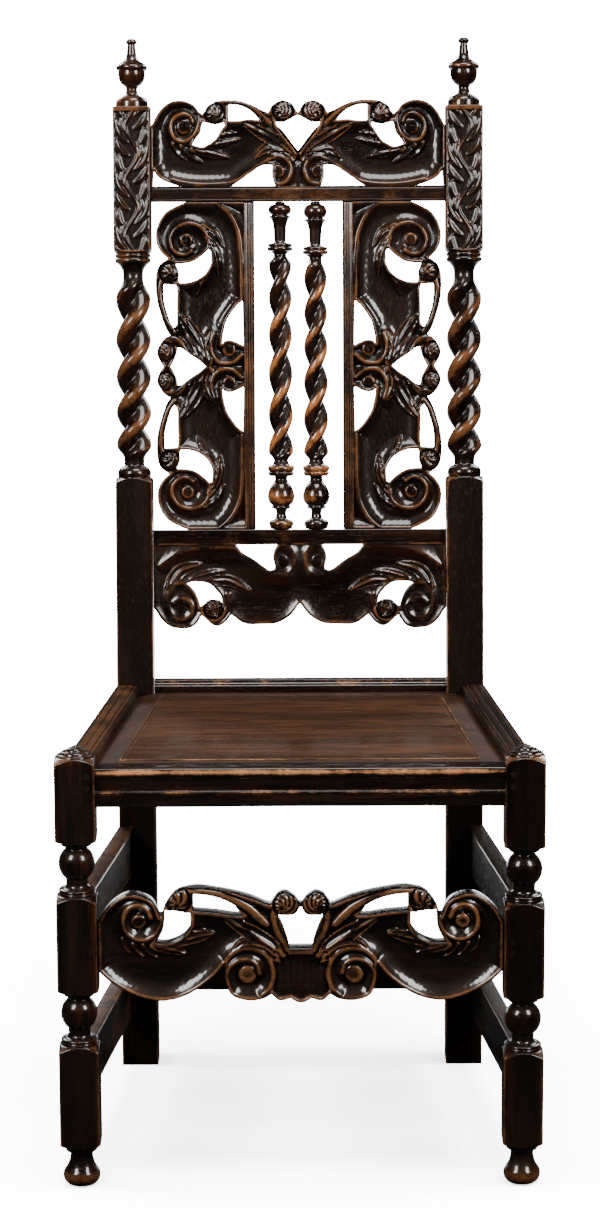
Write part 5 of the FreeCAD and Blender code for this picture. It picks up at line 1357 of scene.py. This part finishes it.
cross_bar("seat_rail_rear", rear_section, POST_INNER, REAR_RAIL_FRONT, RAIL_BASE, lip)

# %% [markdown]
# ## Side rails and stretchers
# The chair is wider in front than behind, so the side pieces run a little inwards. The rails have
# fine grooves along their tops. The stretchers are plain, with one eased edge.

# %% Side rails and stretchers
LEG_REAR, POST_FRONT = FRONT_Y + HALF, REAR_Y - HALF
RAIL_OUTER = (LEG_X + HALF - 7.5, POST_X + HALF + 1.5)
STRETCHER_OUTER = (LEG_X + HALF - 1.5, POST_X + HALF + 0.5)
UPPER_BASE, LOWER_BASE, REAR_BASE = 238, 70, 91
SIDE_RAIL_SECTION = [
    (0, 0), (28, 0), (28, 37.6), (26.6, 39.8), (25.6, 40.2), (25.0, 41.6), (23.0, 42.4), (22.4, 41.4),
    (21.6, 41.4), (21.0, 42.9), (14.6, 43), (13.9, 41.8), (13.2, 41.8), (12.5, 43), (5.4, 43), (4.6, 41.8),
    (3.8, 41.8), (3.2, 42.6), (1.4, 42.4), (0.2, 40.6),
]
STRETCHER_SECTION = [(0, 0), (19, 0), (19, 52.0), (17.0, 54), (0, 54)]


def side_bar(name, section, side, outer, base):
    """A bar from a leg to a post. Across its section is measured inwards from the outer line."""
    section = section if side < 0 else section[::-1]
    ends = [spot(side * (x - section[:, 0]), y, base + section[:, 1])
            for x, y in zip(outer, (LEG_REAR, POST_FRONT))]
    # Tops are rubbed. Points more than 17 in from the outer line, mostly the inner face, get 0.3: a painted
    # reflection that lightens the faces turned inwards.
    rubbed = np.where(section[:, 1] > section[:, 1].max() - 3, 0.5, np.where(section[:, 0] > 17, 0.3, 0.0))
    make_bar(name, section, ends, rubbed)


lower_section = [(across, up * 55 / 54) for across, up in STRETCHER_SECTION]
for side, hand in ((-1, "left"), (1, "right")):
    side_bar("seat_rail_side_" + hand, eased(SIDE_RAIL_SECTION, 0.8), side, RAIL_OUTER, RAIL_BASE)
    side_bar("stretcher_side_upper_" + hand, eased(STRETCHER_SECTION, 1.2), side, STRETCHER_OUTER,
             UPPER_BASE)
    side_bar("stretcher_side_lower_" + hand, eased(lower_section, 1.2), side, STRETCHER_OUTER,
             LOWER_BASE)

cross_bar("stretcher_rear", eased([(20, 0), (20, 52), (0, 52), (0, 0)], 1.4)[::-1],
          POST_INNER, POST_FRONT + 4, REAR_BASE)

# %% [markdown]
# ## Seat panel
# One wide board with a raised field. From the field's edge the wood is cut down in broad bevels to
# the grooves of the rails. Its top is the least of three slopes: from the sides, the front and the
# rear. Rows and columns of points are closest where the field's edge line runs.

# %% Seat panel
PANEL_FRONT = FRONT_RAIL_FRONT + 25
SIDE_BEVEL, FRONT_BEVEL, REAR_BEVEL = 27.0, 40.0, 44.0
FIELD_TOP, PANEL_EDGE, PANEL_THICK = 455.0, 448.0, 7
FIELD_STEP, PANEL_HALF = 1.6, 190
INNER_FRONT, INNER_REAR = RAIL_OUTER[0] - 28, RAIL_OUTER[1] - 28
NEAR_FIELD = np.array([-0.4, 0, 0.3, 0.6, 0.9, 1.4, 2.6, 3.3, 3.7, 4.0, 4.4, 4.7, 5.1, 6.0])


def bevel_height(inset, bevel):
    """Height above the panel's edge by distance in from it: a slope, a fine step and the field."""
    slope = (FIELD_TOP - PANEL_EDGE - FIELD_STEP) * np.clip(inset / bevel, 0, 1)
    line = 0.7 * bell((inset - bevel - 4.2) / 0.6)
    return slope + FIELD_STEP * ease((inset - bevel) / 0.9) - line


def levels(bevel):
    """Places in from an edge, close together at the field's edge line."""
    return np.concatenate([np.linspace(0, bevel - 1.5, 8), bevel + NEAR_FIELD])


front_levels = PANEL_FRONT + levels(FRONT_BEVEL)
rear_levels = REAR_RAIL_FRONT - levels(REAR_BEVEL)[::-1]
middle_levels = np.linspace(front_levels[-1], rear_levels[0], 24)[1:-1]
notches = [LEG_REAR - 0.01, LEG_REAR + 0.01, POST_FRONT - 0.01, POST_FRONT + 0.01]
panel_ys = np.unique(np.concatenate([front_levels, middle_levels, rear_levels, notches]))[:, None]


def panel_top():
    """Top of the panel: a row of points at every place front to back, narrower at the notches."""
    line = INNER_FRONT + (INNER_REAR - INNER_FRONT) * (panel_ys - LEG_REAR) / (POST_FRONT - LEG_REAR)
    limit = np.where(panel_ys < LEG_REAR, LEG_INNER, np.where(panel_ys > POST_FRONT, POST_INNER, line))
    side_levels = levels(SIDE_BEVEL)
    bevel_end = side_levels[-1]
    from_side = np.concatenate([side_levels, np.linspace(bevel_end, PANEL_HALF, 16)[1:]])
    share = 1 - from_side / PANEL_HALF
    half = np.where(from_side <= bevel_end, limit - from_side,
                    (limit - bevel_end) * (share / share[len(side_levels) - 1]))
    across = np.concatenate([-half, half[:, -2::-1]], axis=1)
    edges = ((panel_ys - PANEL_FRONT, FRONT_BEVEL), (REAR_RAIL_FRONT - panel_ys, REAR_BEVEL),
             (line - np.abs(across), SIDE_BEVEL))
    slopes = [bevel_height(inset, bevel) for inset, bevel in edges]
    high = PANEL_EDGE + np.minimum.reduce(np.broadcast_arrays(*slopes))
    inside = np.minimum.reduce(np.broadcast_arrays(*[inset - bevel for inset, bevel in edges]))
    # The worn line just inside the field's edge is a painted highlight line.
    worn = np.clip(1 - np.abs(inside - 0.9) / 1.2, 0, 1)
    return spot(across, panel_ys, high), 0.1 + 0.34 * ease(inside / 3) + 0.9 * worn


def make_panel():
    """Close the top with a flat underside and walls round the edge."""
    top, worn = panel_top()
    rows, columns, _ = top.shape
    number = np.arange(rows * columns).reshape(rows, columns)
    corners = [number[:-1, :-1], number[:-1, 1:], number[1:, 1:], number[1:, :-1]]
    quads = np.stack(corners, axis=-1).reshape(-1, 4)
    rim = np.concatenate([number[0, :-1], number[:-1, -1], number[-1, :0:-1], number[:0:-1, 0]])
    after, below = np.roll(rim, -1), rows * columns
    walls = np.stack([after, rim, rim + below, after + below], axis=-1)
    top = top.reshape(-1, 3)
    under = spot(top[:, 0], top[:, 1], PANEL_EDGE - PANEL_THICK)
    values = np.concatenate([worn.ravel(), np.full(below, 0.2)])
    faces = [quads, quads[:, ::-1] + below, walls]
    add_piece("seat_panel", np.concatenate([top, under]), faces, values, sharp=35)


make_panel()

# %% [markdown]
# ## Grain and wear
# The oak was stained nearly black and waxed for three centuries. Where it is rubbed it shows copper
# brown. Every finish needs the same grain, long in one direction and fine across it, and the same
# wear, from the raised value and a drifting noise, so each is a group that is built once. The wear
# group lays the rubbed colour on the painted highlights that the raised value carries as well.

# %% Grain and wear


def new_group(name, inputs, outputs):
    """A shader group with named sockets. A place is a vector and all the others are numbers."""
    group = bpy.data.node_groups.new(name, "ShaderNodeTree")
    for way, sockets in (("INPUT", inputs), ("OUTPUT", outputs)):
        for socket in sockets:
            kind = "NodeSocketVector" if socket == "Place" else "NodeSocketFloat"
            group.interface.new_socket(socket, in_out=way, socket_type=kind)
    return group, group.nodes.new("NodeGroupInput").outputs, group.nodes.new("NodeGroupOutput").inputs


def noise(tree, place, scale, detail, rough, distortion=0.0):
    """A noise texture's value."""
    return add_node(tree, "ShaderNodeTexNoise", Vector=place, Scale=scale, Detail=detail, Roughness=rough,
                    Distortion=distortion).outputs[0]


def make_grain_group():
    """Oak grain: drifting bands, fine dark pores and broad uneven colour, from a stretched place."""
    group, start, end = new_group("Oak grain", ["Place"], ["Bands", "Pores", "Drift"])
    for socket, look, low, high in (("Bands", (90.0, 4.0, 0.6, 0.4), 0.32, 0.68),
                                    ("Pores", (520.0, 2.0, 0.6), 0.54, 0.70),
                                    ("Drift", (14.0, 2.0, 0.5), 0.35, 0.65)):
        feed(group, end[socket], remap(group, noise(group, start["Place"], *look), low, high))
    return group


def make_wear_and_sheen_group():
    """Where the finish is rubbed through or a painted highlight lies, and where the hollows darken."""
    group, start, end = new_group("Rubbed finish", ["Place", "Raised", "Amount"], ["Rubbed", "Hollow"])
    patch = calc(group, noise(group, start["Place"], 26.0, 5.0, 0.65), "-", 0.5, "*", 1.5)
    speck = calc(group, noise(group, start["Place"], 240.0, 3.0, 0.7), "-", 0.5, "*", 0.5)
    level = calc(group, start["Raised"], "+", patch, "+", speck, "+", start["Amount"])
    feed(group, end["Rubbed"], remap(group, level, 0.62, 1.15))
    feed(group, end["Hollow"], remap(group, start["Raised"], 0.30, 0.05))
    return group


GRAIN = make_grain_group()
WEAR_AND_SHEEN = make_wear_and_sheen_group()
print("groups", GRAIN.name, WEAR_AND_SHEEN.name)

# %% [markdown]
# ## Oak
# All finishes are one oak with other values: the colours of its ground, its warm bands and its
# rubbed edges, which also serve as painted highlights, how much is rubbed, and how the wax shines.
# One function makes them all. The grain runs along each piece, so a finish is made for each direction.

# %% Oak
DARK, WARM, RUBBED_AND_SHEEN = (0.0012, 0.0004, 0.00018), (0.014, 0.004, 0.0012), (0.09, 0.034, 0.012)
BROWN = (0.11, 0.045, 0.018)


def deeper(colour, share):
    """A colour times a share."""
    return tuple(part * share for part in colour)


def make_oak(name, along, dark, warm, rubbed, amount, rough, coat, stretch=9.0, fine=1.0, gloss=0.13):
    """A finish of oak with its grain along one axis: dark ground, warm bands, rubbed edges and painted
    highlights.
    """
    finish = bpy.data.materials.new(name)
    finish.use_nodes = True
    tree = finish.node_tree
    shader = tree.nodes["Principled BSDF"].inputs
    place = add_node(tree, "ShaderNodeTexCoord").outputs["Object"]
    scale = [fine / stretch if axis == along else fine for axis in "xyz"]
    long_place = add_node(tree, "ShaderNodeMapping", Vector=place, Scale=scale).outputs[0]
    grain = add_node(tree, "ShaderNodeGroup", {"node_tree": GRAIN}, Place=long_place).outputs
    raised = add_node(tree, "ShaderNodeAttribute", {"attribute_name": "raised"}).outputs["Fac"]
    wear = add_node(tree, "ShaderNodeGroup", {"node_tree": WEAR_AND_SHEEN},
                    Place=place, Raised=raised, Amount=amount).outputs
    bands, pores, drift, hollow = grain["Bands"], grain["Pores"], grain["Drift"], wear["Hollow"]
    ground = blend(tree, calc(tree, drift, "+", 0.25, "*", bands), dark, warm)
    # The rubbed colour: it paints real wear and the painted highlights alike.
    worn = blend(tree, calc(tree, bands, "*", 0.4), rubbed, deeper(rubbed, 1.5))
    colour = blend(tree, wear["Rubbed"], ground, worn)
    colour = blend(tree, calc(tree, pores, "*", 0.55), colour, deeper(dark, 0.35))
    # Darker colour in the hollows, by the hollow mask.
    colour = blend(tree, calc(tree, hollow, "*", 0.6), colour, deeper(dark, 0.5))
    dirt = calc(tree, hollow, "*", 0.15)
    ripple = noise(tree, place, 70.0, 2.0, 0.5)
    relief = calc(tree, bands, "*", 0.35, "-", calc(tree, pores, "*", 0.8),
                  "+", calc(tree, ripple, "*", 0.6))
    bump = add_node(tree, "ShaderNodeBump", Height=relief, Strength=0.55, Distance=0.0006)
    for socket, value in (
        ("Base Color", colour), ("Roughness", calc(tree, drift, "*", 0.12, "+", rough, "+", dirt)),
        ("Coat Weight", coat), ("Coat Roughness", gloss), ("Specular IOR Level", 0.16),
        ("Specular Tint", (1.0, 0.76, 0.6)), ("Normal", bump.outputs[0]),
    ):
        feed(tree, shader[socket], value)
    return finish


# %% [markdown]
# ## Finishes
# Upright, level and deep pieces take the oak with their own grain. Twists and spindles, which hands
# reach, are redder and more rubbed, and so are the carved stretcher and the front rail. The seat is
# paler and duller than the rest, with a finer grain.

# %% Finishes
FINISHES = {
    "post": make_oak("oak_dark_upright", "z", DARK, (0.028, 0.009, 0.0032), RUBBED_AND_SHEEN, 0.0, 0.26, 0.7),
    "rail": make_oak("oak_dark_across", "x", DARK, WARM, RUBBED_AND_SHEEN, -0.05, 0.3, 0.5),
    "side": make_oak("oak_dark_deep", "y", DARK, WARM, RUBBED_AND_SHEEN, -0.05, 0.3, 0.5),
    "carved": make_oak("oak_carved_across", "x", DARK, WARM, RUBBED_AND_SHEEN, 0.0, 0.26, 0.7),
    "carved_upright": make_oak("oak_carved_upright", "z", DARK, WARM, RUBBED_AND_SHEEN, 0.0, 0.26, 0.7),
    "stretcher": make_oak("oak_carved_worn", "x", DARK, WARM, BROWN, 0.04, 0.26, 0.7),
    "twist": make_oak("oak_twist", "z", DARK, (0.02, 0.006, 0.002), (0.115, 0.042, 0.015), 0.02, 0.25, 0.6),
    "spindle": make_oak("oak_spindle", "z", DARK, (0.026, 0.008, 0.0025), (0.3, 0.105, 0.032),
                        0.07, 0.2, 0.9),
    "front_rail": make_oak("oak_worn_across", "x", DARK, (0.014, 0.005, 0.002), (0.36, 0.155, 0.066),
                           0.12, 0.22, 1.0, gloss=0.09),
    # The panel's rubbed colour also lays the painted highlight line along the field's edge.
    "panel": make_oak("oak_panel_across", "x", (0.02, 0.0075, 0.003), (0.075, 0.028, 0.012),
                      (0.3, 0.16, 0.085), -0.1, 0.32, 0.35, 14.0, 2.4),
    "peg": make_oak("oak_peg_end", "y", (0.003, 0.0011, 0.0005), (0.016, 0.006, 0.002), RUBBED_AND_SHEEN,
                    -0.1, 0.35, 0.3),
}
FINISH_OF = {
    "front_leg": "post", "rear_post": "twist", "finial": "spindle", "spindle": "spindle",
    "splat": "carved_upright", "crest_rail": "carved", "lower_back_rail": "carved",
    "stretcher_front": "stretcher", "seat_rail_front": "front_rail", "seat_rail_rear": "front_rail",
    "seat_rail_side": "side", "stretcher_side": "side", "stretcher_rear": "rail", "seat_panel": "panel",
}
for piece in made:
    key = next(key for key in FINISH_OF if piece.name.startswith(key))
    piece.data.materials.clear()
    piece.data.materials.append(FINISHES[FINISH_OF[key]])
print("finishes", len(FINISHES))

# %% [markdown]
# ## Pegs
# The pegs are small plain dowels, so the solids of the frame serve as they are, with their own
# finish.

# %% Pegs
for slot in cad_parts["oak_pegs"].material_slots:
    slot.material = FINISHES["peg"]
print("pegs", len(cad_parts["oak_pegs"].material_slots))

# %% Finish
low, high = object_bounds()
print("visual box", [round(v, 4) for v in low], [round(v, 4) for v in high])
